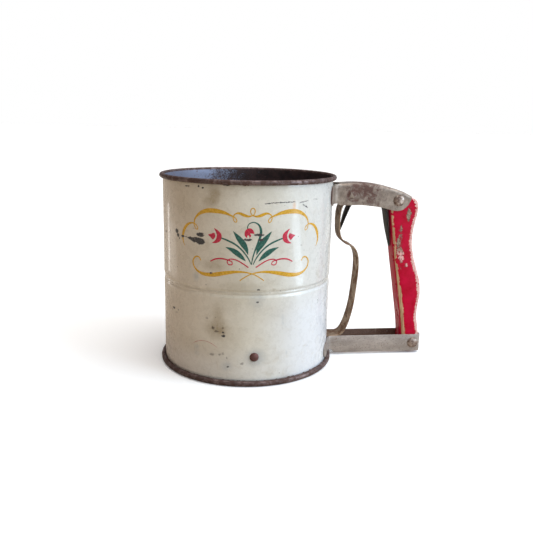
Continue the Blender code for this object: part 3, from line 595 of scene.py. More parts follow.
def edge_wear(sh, place, rub, side):
    """Masks of the finger-worn back corner and of the bare line down the front corner. The mesh's
    "edge" attribute is 1 at the back corner and -1 at the front one."""
    edge = sh.tree.nodes.new("ShaderNodeAttribute")
    edge.attribute_name = "edge"
    near = edge.outputs["Fac"]
    _, _, z = sh.split(place)
    back_growth = sh.plus(near, sh.times(sh.minus(rub, 0.8), 1.6))
    back = sh.times(sh.ramp(side, 0.05, 0.35), sh.ramp(back_growth, 0.78, 0.86))
    ragged = sh.times(sh.minus(sh.noise(place, 0.3, 5, 0.6), 0.5), 1.3)
    front_growth = sh.minus(sh.minus(ragged, near), sh.ramp(z, 60.0, 48.0, 0.86, 0.56))
    front = sh.times(sh.ramp(side, 0.62, 0.86), sh.ramp(front_growth, 0.0, 0.06))
    return back, front


def flake_masks(sh, place, side):
    """Masks of the flakes on the grip's sides and of their dark rims."""
    x, _, z = sh.split(place)
    spot = sh.join(x, z)
    near = sh.either(*(oval(sh, spot, mark[:2], mark[2:], 0.75) for mark in GRIP_CHIPS))
    flake = sh.noise(sh.scale(place, (1.0, 1.0, 0.75)), 0.36, 7, 0.72, 0.3)
    growth = sh.plus(flake, sh.times(near, 0.27))
    on_side = sh.ramp(side, 0.8, 0.95)
    return sh.times(sh.ramp(growth, 0.715, 0.735), on_side), sh.times(sh.ramp(growth, 0.675, 0.695), on_side)


def grip_finish():
    """Crimson enamel on wood: the finger-worn back edge, a bare line along the front corner, chips
    down the side, and a painted highlight, a pink streak low on the front face."""
    sh = Shader("crimson_wood")
    place = sh.position()
    _, _, z = sh.split(place)
    nx, ny, _ = sh.facing()
    side = sh.size(ny)
    fine = sh.noise(place, 0.8, 7, 0.7)
    broad = sh.noise(place, 0.13, 6, 0.65)
    grain = sh.noise(sh.scale(place, (1.0, 1.0, 0.06)), 1.6, 5, 0.6)
    streak = sh.noise(sh.scale(place, (1.0, 1.0, 0.08)), 0.5, 4, 0.6)
    rub = sh.plus(fine, sh.times(broad, 0.6))
    back, front = edge_wear(sh, place, rub, side)
    flakes, flake_rims = flake_masks(sh, place, side)
    spine = sh.times(sh.ramp(nx, 0.6, 0.9), sh.ramp(rub, 0.90, 1.02))
    # Painted highlight: a pink streak low on the front face.
    face = sh.times(sh.ramp(nx, -0.7, -0.95), sh.ramp(z, 60.0, 46.0), sh.ramp(streak, 0.55, 0.62, 0.0, 0.8))
    bare = sh.mix(sh.ramp(grain, 0.35, 0.65), (0.36, 0.20, 0.10), (0.62, 0.42, 0.24))
    primer = sh.mix(sh.ramp(fine, 0.3, 0.7), (0.60, 0.28, 0.25), (0.82, 0.60, 0.54))
    grey_wood = sh.mix(sh.ramp(fine, 0.4, 0.6), (0.15, 0.13, 0.09), (0.48, 0.33, 0.25))
    flaked = sh.mix(sh.ramp(z, 84.0, 80.0), grey_wood, (0.80, 0.45, 0.42))
    colour = sh.mix(sh.ramp(broad, 0.35, 0.65), (0.44, 0.0005, 0.020), (0.55, 0.001, 0.036))
    colour = sh.mix(sh.times(flake_rims, 0.85), colour, (0.12, 0.085, 0.07))
    colour = sh.mix(flakes, colour, flaked)
    colour = sh.mix(sh.times(face, 0.7), colour, (0.66, 0.30, 0.32))
    colour = sh.mix(sh.either(back, spine), colour, primer)
    colour = sh.mix(front, colour, bare)
    worn = sh.either(flakes, back, front, spine)
    relief = sh.plus(sh.times(fine, 0.15), sh.times(worn, -0.7))
    return sh.set(Base_Color=colour, Roughness=sh.blend(worn, sh.ramp(broad, 0.3, 0.7, 0.26, 0.40), 0.7),
                  Specular_IOR_Level=0.1, Normal=sh.bump(relief, 0.5, 0.2))


def bracket_rust_and_ear_shadow(sh, place):
    """Heavy rust on the top bracket's side, with a ring over the trigger's pivot; the ears' ends are
    darkened, partly rust and partly a painted shadow of the gap against the can.
    """
    x, _, z = sh.split(place)
    spot = sh.join(x, z)
    patches = sh.either(sh.times(oval(sh, spot, (86, 129.5), (10, 6), 0.8), 0.26),
                        sh.times(oval(sh, spot, (79, 125.0), (6, 5), 0.9), 0.13),
                        sh.times(oval(sh, spot, (91, 123), (5, 6), 0.9), 0.20))
    disc = oval(sh, spot, (77.5, 124.6), (5.2, 4.6), 0.15)
    ring = sh.minus(disc, sh.times(disc, oval(sh, spot, (78.3, 124.4), (4.0, 3.6), 0.15)))
    # The ears' ends: darker, partly rust and partly a painted shadow of the gap against the can.
    return sh.plus(patches, sh.times(ring, 0.12), sh.ramp(x, 57.9, 57.2, 0.0, 0.5))


def rust_and_inner_shade(sh, place):
    """Rust colour on the faces turned towards the handle's middle plane, partly rust and partly painted shade
    between the side plates, and a little rust on the ears.
    """
    _, across, _ = sh.facing()
    x, y, _ = sh.split(place)
    # The inner faces' rust colour is partly painted shade.
    return sh.plus(sh.ramp(sh.times(y, across), -1.0, -4.0, 0.0, 0.30), sh.ramp(x, 66.0, 63.0, 0.0, 0.08))


def all_finishes():
    """Every finish under its short name."""
    return {
        "enamel": enamel_finish(),
        "inside": can_inside_finish(),
        "rim": worn_metal("rusted_rim", (0.22, 0.155, 0.145), (0.085, 0.056, 0.053), (0.085, 0.036, 0.025),
                          coverage=0.5, grain=1.6, metallic=0.6, roughness=0.40),
        "top_bracket": worn_metal("top_bracket_steel", (0.43, 0.36, 0.30), (0.24, 0.19, 0.155),
                                  (0.15, 0.065, 0.05), coverage=0.30, grain=1.5, metallic=0.55,
                                  roughness=0.42, pits=0.9, patch=bracket_rust_and_ear_shadow, soft=0.24),
        "lower_bracket": worn_metal("lower_bracket_steel", (0.52, 0.46, 0.42), (0.35, 0.305, 0.275),
                                    (0.20, 0.10, 0.06), coverage=0.10, grain=1.4, metallic=0.55,
                                    roughness=0.40, pits=1.0, streaks=(0.35, 1, 1), patch=rust_and_inner_shade),
        "trigger": worn_metal("trigger_patina", (0.46, 0.325, 0.215), (0.24, 0.155, 0.095),
                              (0.20, 0.095, 0.042), coverage=0.45, metallic=0.5, roughness=0.44,
                              streaks=(1, 0.5, 0.5)),
        # The spring's near-black colour is partly dark spring steel and partly painted shade under the top
        # bracket.
        "spring": worn_metal("spring_black_and_painted_shade", (0.024, 0.020, 0.020), (0.009, 0.008, 0.009),
                             (0.035, 0.020, 0.016), coverage=0.15, metallic=0.15, roughness=0.62),
        "rivet": worn_metal("rivet_steel", (0.50, 0.41, 0.35), (0.24, 0.175, 0.14), (0.13, 0.06, 0.035),
                            coverage=0.4, grain=2.2, metallic=0.75, roughness=0.32),
        "body_rivet": worn_metal("body_rivet_rust", (0.22, 0.10, 0.09), (0.10, 0.045, 0.04),
                                 (0.13, 0.045, 0.035), coverage=0.6, grain=2.2, metallic=0.3, roughness=0.5),
        "bare": worn_metal("bare_steel", (0.42, 0.38, 0.34), (0.22, 0.19, 0.17), (0.15, 0.07, 0.04),
                           coverage=0.35, metallic=0.8, roughness=0.45),
        "wire": worn_metal("wire_cloth", (0.44, 0.42, 0.39), (0.26, 0.24, 0.22), (0.17, 0.09, 0.05),
                           coverage=0.25, grain=1.5, metallic=0.85, roughness=0.38, bump=0.2),
        "brass": worn_metal("brass", (0.60, 0.44, 0.18), (0.36, 0.25, 0.10), (0.12, 0.08, 0.04),
                            coverage=0.2, metallic=0.9, roughness=0.38),
        "grip": grip_finish(),
        "ochre": print_finish("ochre_print", (0.66, 0.36, 0.012), (0.52, 0.27, 0.010)),
        "crimson": print_finish("crimson_print", (0.56, 0.006, 0.045), (0.42, 0.004, 0.035)),
        "teal": print_finish("teal_print", (0.006, 0.115, 0.085), (0.004, 0.070, 0.055)),
    }


# ---- can

def wall_dent(turn, height):
    """Slight unevenness of a can that has been knocked about, none at its rolled ends."""
    depth, margin, fade_length, stretch = 0.13, 4, 8, 55
    from_end = min(height, CAN_HEIGHT - height) - margin
    fade = min(max(from_end / fade_length, 0), 1)
    spot = Vector((math.cos(turn), math.sin(turn), height / stretch)) * 2.0
    return depth * fade * noise.noise(spot)


def bead(height):
    """The rolled-in stiffening groove, with a low rib along its middle, as a change of radius."""
    away = abs(height - BEAD_HEIGHT)
    if away >= BEAD_HALF_WIDTH:
        return 0.0
    groove = BEAD_DEPTH * math.cos(RIGHT_ANGLE * away / BEAD_HALF_WIDTH) ** 2
    return BEAD_RIB * math.exp(-(away / BEAD_RIB_WIDTH) ** 2) - groove


def wall_point(s, height, proud):
    """A point on the can's outer wall, `s` millimetres round from the front."""
    turn = s / CAN_RADIUS - RIGHT_ANGLE
    radius = CAN_RADIUS + bead(height) + wall_dent(turn, height) + proud
    return radius * math.cos(turn), radius * math.sin(turn), height


def wall_heights():
    """Heights of the wall's rows of points: close together over the groove, and at the tail slot."""
    off_end, off_bead = 5.0, 3.4
    below = [off_end + i * (BEAD_HEIGHT - off_end - off_bead) / 19 for i in range(20)]
    beaded = [BEAD_HEIGHT + 0.3 * i for i in range(-10, 11)]
    room_above = CAN_HEIGHT - BEAD_HEIGHT - off_end - off_bead
    above = [BEAD_HEIGHT + off_bead + i * room_above / 24 for i in range(25)]
    return sorted(below + beaded + above + list(TAIL_SLOT))


def rolled_edge(radius, at_top, steps=18):
    """Section of a rolled edge: its outside from the can's inner face to the tip, then its inside
    back to the can's outer face."""
    direction = -1 if at_top else 1
    centre = CAN_INNER + radius, CAN_HEIGHT - radius if at_top else radius
    inner = radius - CURL_SHEET
    tip = 180 + direction * 286
    meeting = math.degrees(math.acos((centre[0] - CAN_RADIUS) / inner))
    return arc(centre, radius, 180, tip, steps) + arc(centre, inner, tip, 180 - direction * meeting, steps)


def make_can(finishes):
    """Turned shell with rolled ends. Each run of its outline has one of three finishes."""
    heights = wall_heights()
    inner = [(CAN_INNER + bead(z), z) for z in heights]
    outer = [(CAN_RADIUS + bead(z), z) for z in reversed(heights)]
    top = rolled_edge(TOP_CURL, True)
    foot = rolled_edge(FOOT_CURL, False)[::-1]
    segments = 224
    bm = turned(inner + top + outer + foot, segments, wall_dent)
    enamel, inside, rim = range(3)
    runs = ((len(inner), inside), (len(top) - 1, rim), (len(outer) + 1, enamel), (len(foot) - 1, rim),
            (1, inside))
    finish_of = [finish for count, finish in runs for _ in range(count)]
    for i, face in enumerate(bm.faces):
        face.material_index = finish_of[i // segments]
    cut_tail_slot(bm)
    can = finish_mesh("can_shell", bm, finishes["enamel"], "root", "enamel_can", ["body_shell"], 60)
    can.data.materials.append(finishes["inside"])
    can.data.materials.append(finishes["rim"])


def cut_tail_slot(bm):
    """Open the wall where the trigger's tail and the drive bar meet."""
    def in_slot(face):
        middle = face.calc_center_median()
        low, high = TAIL_SLOT
        return middle.x > 0 and abs(middle.y) < TAIL_SLOT_HALF and low < middle.z < high

    bmesh.ops.delete(bm, geom=[face for face in bm.faces if in_slot(face)], context="FACES")
    bmesh.ops.bridge_loops(bm, edges=[edge for edge in bm.edges if edge.is_boundary])


def make_body_rivets(finish):
    """Round heads outside and upset ends inside, one at the front and one at the back."""
    shank, inner_end = 1.6, 57.4
    head = ((3.15, 0.0), (2.95, 0.45), (2.4, 0.85), (1.4, 1.1), (0, 1.15))
    outline = [(0, inner_end), (shank, inner_end + 0.1), (2.4, inner_end + 0.5), (2.7, inner_end + 1.2),
               (shank, inner_end + 1.2), (shank, CAN_RADIUS - 0.1)]
    outline += [(radius, CAN_RADIUS + proud) for radius, proud in head]
    for name, turn in (("crossbar_rivet_front", RIGHT_ANGLE), ("crossbar_rivet_back", -RIGHT_ANGLE)):
        height = sum(node_range(name, 2)) / 2
        place = Matrix.Translation((0, 0, height)) @ Matrix.Rotation(turn, 4, "X")
        bm = turned(outline, 32, place=place)
        finish_mesh(name + "_detail", bm, finish, "root", "rivet_steel", [name], 50)


# ---- screens

def woven_cloth(radius, hole, pitch, wire):
    """Plain-woven wire disc with a hole in its middle, lying on height 0."""
    points, faces = [], []
    half_count = int(radius / pitch)
    for direction in (0, 1):
        for k in range(-half_count, half_count):
            offset = (k + 0.5) * pitch
            reach = math.sqrt(radius ** 2 - offset ** 2)
            inner = math.sqrt(max(hole ** 2 - offset ** 2, 0.0))
            spans = [(-reach, -inner), (inner, reach)] if inner else [(-reach, reach)]
            for start, end in spans:
                first, last = math.ceil(2 * start / pitch), math.floor(2 * end / pitch)
                stops = [start] + [j * pitch / 2 for j in range(first, last + 1)] + [end]
                waves = [1.1 * wire * math.sin(math.pi * t / pitch) * (-1) ** (k + direction) for t in stops]
                add_wire(points, faces, list(zip(stops, waves)), offset, direction, wire)
    mesh = bpy.data.meshes.new("woven_cloth")
    mesh.from_pydata(points, [], faces)
    return mesh


def add_wire(points, faces, stops, offset, direction, wire):
    """One wire of four sides, through stops of (along, height), along X or Y."""
    base = len(points)
    for along, height in stops:
        for aside, up in ((wire, 0), (0, wire), (-wire, 0), (0, -wire)):
            place = (along, offset + aside) if direction == 0 else (offset + aside, along)
            points.append((*place, height + up))
    last = base + 4 * (len(stops) - 1)
    for ring in range(base, last, 4):
        for side in range(4):
            turn = (side + 1) % 4
            faces.append((ring + side, ring + turn, ring + 4 + turn, ring + 4 + side))
    faces.append((base, base + 1, base + 2, base + 3))
    faces.append((last + 3, last + 2, last + 1, last))


def make_screen(place, finishes):
    """A hoop with a ledge, the wire cloth on it, and the eyelet in the cloth's middle."""
    hoop, cloth, eyelet = (place + "_screen_" + piece for piece in ("hoop", "mesh", "eyelet"))
    make_hoop(place + "_hoop_ring", hoop, finishes["bare"])
    cloth_radius = node_range(hoop, 0)[1] - 1.0
    woven = woven_cloth(cloth_radius, 4.3, 2.2, 0.19)
    woven.transform(Matrix.Translation((0, 0, sum(node_range(cloth, 2)) / 2)))
    finish_piece(place + "_woven_screen", woven, finishes["wire"], "root", "wire_cloth", [cloth])
    make_eyelet(place + "_eyelet_ring", eyelet, finishes["bare"])


def make_hoop(name, node, finish):
    """Ring with a rounded top edge and a flat ledge inside its foot."""
    low, high = node_range(node, 2)
    outer = node_range(node, 0)[1]
    wall, ledge, ledge_sheet, corner = 0.7, 57.5, 0.8, 0.4
    outline = [(ledge, low)] + arc((outer - corner, low + corner), corner, -90, 0, 3)
    outline += arc((outer - wall / 2, high - wall / 2), wall / 2, 0, 180, 6)
    outline += [(outer - wall, low + ledge_sheet), (ledge, low + ledge_sheet)]
    finish_mesh(name, turned(outline, 160), finish, "root", "bare_steel", [node])


def make_eyelet(name, node, finish):
    """Flanged sleeve: a wide flange under the cloth and a rolled one over it."""
    low, high = node_range(node, 2)
    bore, sleeve = 3.3, 4.4
    outline = [(bore, low + 0.3)] + arc((6.0, low + 0.4), 0.4, 270, 430, 4)
    outline += [(sleeve, low + 0.9), (sleeve, high - 0.6)] + arc((5.4, high - 0.3), 0.3, -90, 90, 4)
    outline += [(3.7, high), (bore, high - 0.4)]
    finish_mesh(name, turned(outline, 48), finish, "root", "bare_steel", [node])


# ---- agitators and spindle

def make_agitator(place, finish):
    """Four rounded arms under a raised hub."""
    name = place + "_agitator"
    low, high = node_range(name, 2)
    reach = node_range(name, 0)[1]
    half_height, half_width = 0.9, 1.1
    bm = bmesh.new()
    for quarter in range(4):
        turn = Matrix.Rotation(RIGHT_ANGLE * quarter, 4, "Z")
        rings = []
        for along, size in ((2.6, 1.0), (8, 1.0), (reach - 6, 0.94), (reach - 1.2, 0.84), (reach, 0.5)):
            up = half_height * size
            section = rounded_section(2 * half_width * size, -up, up, 0.6 * size)
            rings.append([bm.verts.new(turn @ Vector((along, u, v + low + half_height))) for u, v in section])
        loft(bm, rings)
    hub = [(3.1, low + 0.5), (4.6, low + 0.5), (5.0, low + 1.1), (5.0, high - 0.9)]
    hub += arc((4.2, high - 0.8), 0.8, 10, 90, 4) + [(3.1, high)]
    join(bm, turned(hub, 40))
    finish_mesh(name + "_arms", bm, finish, "agitator_spindle", "bare_steel", [name])


def make_spindle_nut(finish):
    """Six-sided nut with rounded-off ends and a plain bore."""
    low, high = node_range("spindle_nut", 2)
    half_across, end_radius, bore, chamfer = 4.6, 4.3, 3.0, 0.5
    turns = [2 * math.pi * i / 36 for i in range(36)]
    sixth = math.pi / 3
    hexagon = [half_across / math.cos((turn + sixth / 2) % sixth - sixth / 2) for turn in turns]
    rows = ((low, [end_radius] * 36), (low + chamfer, hexagon), (high - chamfer, hexagon),
            (high, [end_radius] * 36), (high, [bore] * 36), (low, [bore] * 36))
    bm = bmesh.new()
    rings = [[bm.verts.new((radius * math.cos(turn), radius * math.sin(turn), height))
              for radius, turn in zip(radii, turns)] for height, radii in rows]
    loft(bm, rings + rings[:1], caps=False)
    finish_mesh("spindle_top_nut", bm, finish, "agitator_spindle", "bare_steel", ["spindle_nut"], 25)


# ---- brackets

TOP_EAR_TIP = 24.5                   # degrees round the can from the handle's plane
LOWER_EAR_TIP = 27.5
EAR_ROOT = 12.0
TOP_EAR = (118.8, 133.0)             # lower and upper edge
EAR_CORNER = 5.5
PLATE = 8.0                          # from the middle plane to the side plates' centre
EAR_BEND = ((62.5, 9.85), (63.9, 8.6), (65.4, 8.1))

# Side view of the top bracket: distance from the can's axis, lower edge, upper edge
CHANNEL = ((67.5, 117.5, 133.4), (76, 117.6, 134.0), (83, 117.8, 134.0), (90, 117.2, 133.6),
           (97, 116.4, 132.7), (103, 115.1, 131.5), (108, 113.9, 130.2), (111.4, 113.5, 129.2),
           (113.9, 113.7, 128.4), (116.5, 114.7, 127.4), (119.6, 117.6, 125.9), (121.4, 120.6, 124.9),
           (122.3, 122.8, 124.3))
PLATE_ROWS = 7                       # steps up a side plate, round its bend and half across the web
BEND_ROWS = 5
WEB_ROWS = 6


def ear_rows(tip, low, high):
    """A rounded ear on the can, from its tip through the bend: (point, low edge, high edge)."""
    radius = CAN_RADIUS + 0.12 + BRACKET_SHEET / 2
    rows = []
    for i in range(9):
        inset = EAR_CORNER * math.cos(RIGHT_ANGLE * i / 8)
        rows.append((tip - math.degrees((EAR_CORNER - inset) / radius),
                     EAR_CORNER - math.sqrt(EAR_CORNER ** 2 - inset ** 2)))
    rows += [(tip + (EAR_ROOT - tip) * share, 0.0) for share in (0.45, 0.65, 0.85, 1.0)]
    on_can = []
    for turn, cut in rows:
        outward = Vector((math.cos(math.radians(turn)), math.sin(math.radians(turn))))
        on_can.append((outward * radius, low + cut, high - cut))
    return on_can + [(point, low, high) for point in smooth_path(EAR_BEND, 2)]


def make_lower_bracket(finish):
    """One strip: ear, side plate, round the grip's end, and back."""
    end = node_range("lower_bracket", 0)[1] - BRACKET_SHEET / 2
    low, high = node_range("lower_bracket", 2)
    over_rim = 2 * FOOT_CURL + 0.6
    bend = 2.5
    half = ear_rows(LOWER_EAR_TIP, over_rim, high)
    steps_down = ((66.8, over_rim - 0.9), (67.6, low + 0.4), (68.8, low))
    half += [(Vector((x, PLATE)), edge, high) for x, edge in steps_down]
    half += [(Vector((x, PLATE)), low, high) for x in (80, 95, 110, 125)]
    half += [(Vector(p), low, high) for p in arc((end - bend, PLATE - bend), bend, 90, 0, 8)]
    rows = half + [(Vector((point.x, -point.y)), *edges) for point, *edges in reversed(half)]
    path = [point for point, *_ in rows]
    bm = bent_strip(path, BRACKET_SHEET, [edges for _, *edges in rows], plan_view, 0.25)
    finish_mesh("lower_bracket_strap", bm, finish, "root", "tinned_steel", ["lower_bracket"], 45)


def channel_section(low, high):
    """Across the channel, from one plate's lower edge over the web to the other's: (across, height)."""
    level = high - BRACKET_SHEET / 2
    bend = min(2.4, (high - low) * 0.45)
    side = [(PLATE, low + (level - bend - low) * i / PLATE_ROWS) for i in range(PLATE_ROWS)]
    side += arc((PLATE - bend, level - bend), bend, 0, 90, BEND_ROWS)
    side += [((PLATE - bend) * (1 - i / WEB_ROWS), level) for i in range(1, WEB_ROWS)]
    return side + [(0.0, level)] + [(-across, height) for across, height in reversed(side)]


def make_top_bracket(finish):
    """Channel pressed from one sheet: an arched web, two side plates and two ears on the can."""
    bm = bmesh.new()
    sections = [[bm.verts.new((x, across, height)) for across, height in channel_section(low, high)]
                for x, low, high in smooth_path(CHANNEL, 3)]
    loft(bm, sections, closed_ring=False, caps=False)
    for way in (1, -1):
        root = sections[0][::way][:PLATE_ROWS + BEND_ROWS + 1]
        foot, crown = root[0].co.z, root[-1].co.z
        shares = [(vert.co.z - foot) / (crown - foot) for vert in root]
        strips = [[bm.verts.new((point.x, way * point.y, low + (high - low) * share)) for share in shares]
                  for point, low, high in ear_rows(TOP_EAR_TIP, *TOP_EAR)]
        loft(bm, strips + [root], closed_ring=False, caps=False)
    bracket = finish_mesh("top_bracket_channel", bm, finish, "root", "tinned_steel", ["top_bracket"], 60)
    thicken(bracket, BRACKET_SHEET, 0.22)


def thicken(piece, thickness, edge):
    """Give a bent surface its sheet thickness, with slightly rounded edges."""
    sheet = piece.modifiers.new("sheet", "SOLIDIFY")
    sheet.thickness = thickness * MM
    sheet.offset = 0.0
    sheet.use_even_offset = True
    bevel = piece.modifiers.new("edges", "BEVEL")
    bevel.width = edge * MM
    bevel.segments = 2
    bevel.limit_method = "ANGLE"
    bevel.angle_limit = math.radians(60)


# ---- trigger and spring

PIVOT = (76.8, 125.3)
TRIGGER_GRIP = ((73.2, 121.0), (70.0, 117.0), (68.5, 111.0), (68.3, 103.0), (69.2, 94.5), (73.0, 89.2),
                (79.4, 86.0), (83.2, 80.0), (84.3, 70.0), (83.4, 55.0), (81.8, 40.0), (79.0, 27.5),
                (75.6, 19.0), (72.0, 15.6), (66.5, 14.75))
SPRING_ARCH = ((70.2, 97.6), (71.8, 103.5), (73.7, 110.0), (76.2, 116.4), (79.6, 121.6), (83.6, 126.2),
               (88.6, 129.2), (94.0, 128.6), (98.6, 124.8), (102.0, 119.2), (104.4, 112.6),
               (106.3, 102.0), (108.0, 93.2), (109.7, 85.2))


def make_trigger(finish):
    """Strap with an eye rolled round the pivot pin, a finger bend and a tail into the can. The tail
    has an eye of its own: two arms and a bar across their end."""
    tail_end, _ = node_range("trigger", 0)
    low, high = node_range("trigger", 1)
    thickness, tail_level, eye_half = 1.2, 14.6, 4.6

    def tail(*distances):
        return [Vector((x, tail_level)) for x in distances]

    path = [Vector(p) for p in arc(PIVOT, 2.7, -100, 180, 24)] + smooth_path(TRIGGER_GRIP, 7)
    path += tail(62.0, 50.0, 40.2)
    bm = bent_strip(path, thickness, [(low, high)] * len(path), side_view, 0.5)
    for arm in ((low, -eye_half), (eye_half, high)):
        join(bm, bent_strip(tail(40.4, 38.5, 36.8), thickness, [arm] * 3, side_view, 0.3))
    join(bm, bent_strip(tail(37.0, 35.4, tail_end), thickness, [(low, high)] * 3, side_view, 0.5))
    finish_mesh("trigger_strap", bm, finish, "trigger", "patina_steel", ["trigger"], 50)


def make_spring(finish):
    """Leaf spring over the pivot pin, from the back of the trigger to the grip, tapered towards both
    ends."""
    path = smooth_path(SPRING_ARCH, 8)
    from_middle = [abs(2 * i / (len(path) - 1) - 1) for i in range(len(path))]
    halves = [6.0 * (1 - 0.78 * (max(0.0, away - 0.6) / 0.4) ** 1.4) for away in from_middle]
    bm = bent_strip(path, 0.6, [(-half, half) for half in halves], side_view, 0.22)
    mesh = new_mesh("return_spring_leaf", bm)
    mesh.transform(Matrix.Translation(AXIS) @ Matrix.Scale(MM, 4))
    spring = new_object("return_spring_leaf", mesh, finish, 45)
    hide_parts("return_spring")
    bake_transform(spring)


# ---- grip and rivets

# Side view of the grip from the top bracket down: its waved back and its plain front
GRIP_BACK = ((117.5, 125.0), (121.0, 123.6), (124.6, 123.0), (127.6, 120.6), (128.9, 116.4), (128.4, 110.0),
             (126.8, 102.5), (125.9, 94.5), (126.3, 86.5), (128.2, 77.0), (131.4, 67.5), (134.3, 58.0),
             (135.4, 48.5), (134.5, 40.0), (134.0, 31.0), (135.2, 23.0), (136.4, 15.5), (136.7, 8.0))
GRIP_FRONT = ((106.4, 127.8), (106.3, 125.5), (106.2, 122.5), (106.2, 119.0), (106.7, 113.5), (107.6, 106.0),
              (108.8, 98.0), (109.9, 90.0), (111.3, 81.0), (112.8, 72.0), (114.4, 63.0), (116.0, 54.0),
              (117.5, 45.0), (118.9, 37.0), (120.2, 29.0), (121.3, 21.0), (122.0, 14.0), (122.3, 8.0))
GRIP_EDGE = 2.0
GRIP_WEAR_BAND = 4.0


def grip_section(length, half):
    """Rounded section of the grip: (distance from the front, across, edge). Edge is 1 on the back's
    corners, -1 on the front's and 0 where the side faces' wear ends."""
    radius = min(GRIP_EDGE, half * 0.95, length * 0.3)
    band = min(GRIP_WEAR_BAND, length * 0.2)
    back, front, side = length - radius, radius, half - radius
    corners = ((back, side, 1.0), (front, side, -1.0), (front, -side, -1.0), (back, -side, 1.0))
    section = []
    for k, (along, across, edge) in enumerate(corners):
        corner = [(*point, edge) for point in arc((along, across), radius, 90 * k, 90 * k + 90, 6)]
        wear_end = [(along - edge * band, math.copysign(half, across), 0.0)]
        section += wear_end + corner if k % 2 else corner + wear_end
    return section


def grip_rows():
    """Front point, back point and half width of each row down the grip, with its rounded foot last."""
    half = node_range("handle_grip", 1)[1]
    low = node_range("handle_grip", 2)[0]
    rows = [(f, b, half) for f, b in zip(smooth_path(GRIP_FRONT, 6), smooth_path(GRIP_BACK, 6))]
    front, back, _ = rows[-1]
    narrowing, thinning = 4.5, 2.5
    for i in range(1, 9):
        turn = RIGHT_ANGLE * i / 8
        level = front.y - (front.y - low) * math.sin(turn)
        drawn_in = 1 - math.cos(turn)
        rows.append((Vector((front.x + narrowing * drawn_in, level)),
                     Vector((back.x - narrowing * drawn_in, level)), half - thinning * drawn_in))
    return rows


def make_grip(finish):
    """Flat grip with rounded edges, lofted from the top down. Its attribute "edge" carries the wear."""
    bm = bmesh.new()
    edge = bm.verts.layers.float.new("edge")
    rings = []
    for front, back, half in grip_rows():
        run = back - front
        ring = []
        for along, across, wear in grip_section(run.length, half):
            spot = front + run * (along / run.length)
            vert = bm.verts.new((spot.x, across, spot.y))
            vert[edge] = wear
            ring.append(vert)
        rings.append(ring)
    loft(bm, rings)
    finish_mesh("handle_grip_wood", bm, finish, "root", "red_wood", ["handle_grip"], 40)


def make_cross_rivet(name, radius, height, finish):
    """Domed head on each side of the handle, with a slightly flattened top and a small rim."""
    centre = Vector([sum(node_range(name, axis)) / 2 for axis in range(3)])
    seat = PLATE + BRACKET_SHEET / 2
    rim, dome_radius = 0.12 * height, 0.98 * radius
    upper = [(0.5 * radius, seat), (radius, seat), (radius, seat + rim)]
    for i in range(8):
        turn = RIGHT_ANGLE * i / 8
        upper.append((dome_radius * math.cos(turn), seat + rim + (height - rim) * math.sin(turn)))
    upper.append((0.0, seat + height))
    place = Matrix.Translation(centre) @ Matrix.Rotation(RIGHT_ANGLE, 4, "X")
    bm = turned(upper[::-1] + [(r, -z) for r, z in upper], 40, place=place)
    finish_mesh(name + "_domed", bm, finish, "root", "rivet_steel", [name], 50)


# ---- printed ornament

ORNAMENT_MIDDLE = -2.3               # round from the front

# Strokes: (round from the ornament's middle, height, width), each drawn on both sides
OCHRE_STROKES = (
    ((0.0, 117.4, 0.6), (2.6, 116.9, 1.3), (5.6, 117.6, 1.9), (8.4, 118.7, 1.6), (11.0, 118.4, 0.9),
     (12.6, 116.4, 0.7), (12.2, 114.0, 0.6), (11.0, 112.9, 0.6), (10.2, 113.8, 0.6), (11.2, 115.7, 0.7),
     (14.0, 117.1, 1.1), (19.0, 118.9, 2.2), (25.5, 119.7, 3.0), (31.5, 119.2, 2.8), (36.8, 116.8, 1.9),
     (40.0, 113.4, 1.2), (40.9, 110.0, 0.7)),
    ((40.9, 110.0, 0.7), (40.0, 107.4, 0.6), (38.4, 106.4, 0.6), (37.9, 107.8, 0.6), (39.8, 109.8, 0.7),
     (43.2, 110.3, 1.1), (47.0, 108.6, 1.9), (50.2, 104.8, 2.4), (51.6, 100.2, 1.8), (51.0, 96.6, 0.9),
     (49.6, 94.0, 0.3)),
    ((35.4, 85.8, 0.7), (37.2, 88.0, 0.9), (39.8, 87.8, 1.0), (41.9, 85.2, 1.1), (41.4, 81.6, 1.1),
     (38.3, 78.5, 1.4), (33.0, 76.9, 2.3), (26.0, 77.2, 2.9), (18.5, 78.8, 2.7), (11.5, 80.0, 1.9),
     (5.5, 80.1, 1.1), (0.0, 79.0, 0.7), (-4.2, 76.9, 0.7), (-8.0, 74.3, 0.7)),
)
OCHRE_LOOP = ((-2.0, 117.2, 0.4), (0.4, 117.8, 0.6), (1.4, 119.6, 0.7), (1.2, 121.4, 0.7), (0.1, 122.2, 0.7),
              (-1.1, 121.4, 0.7), (-1.4, 119.6, 0.7), (-0.4, 117.8, 0.6), (2.0, 117.2, 0.4))
CRIMSON_STROKES = (
    ((2.4, 83.2, 0.8), (6.2, 85.8, 0.8), (10.4, 88.0, 0.8), (14.4, 88.5, 0.8), (16.4, 86.9, 0.7),
     (15.4, 84.8, 0.7), (13.2, 85.0, 0.7), (13.6, 86.9, 0.7), (16.4, 87.9, 0.9), (20.8, 88.5, 1.0),
     (24.8, 87.8, 1.0), (28.2, 86.0, 0.7)),
    ((25.5, 108.3, 0.2), (23.4, 106.3, 1.9), (22.0, 103.9, 3.3), (22.4, 101.3, 3.4), (24.3, 99.5, 2.0),
     (26.9, 98.5, 0.2)),
    ((29.8, 103.7, 0.2), (28.0, 103.4, 2.2), (26.4, 103.1, 4.3), (25.5, 102.9, 4.0), (24.7, 102.7, 0.9)),
)
CRIMSON_BELL = (
    ((-3.6, 102.8, 0.2), (-4.1, 104.6, 2.0), (-3.4, 106.4, 3.4), (-2.0, 107.4, 3.6), (-0.4, 106.9, 2.6),
     (1.2, 105.6, 0.2)),
    ((-2.3, 105.3, 1.6), (-1.6, 104.3, 1.4), (-1.9, 102.9, 0.2)),
)
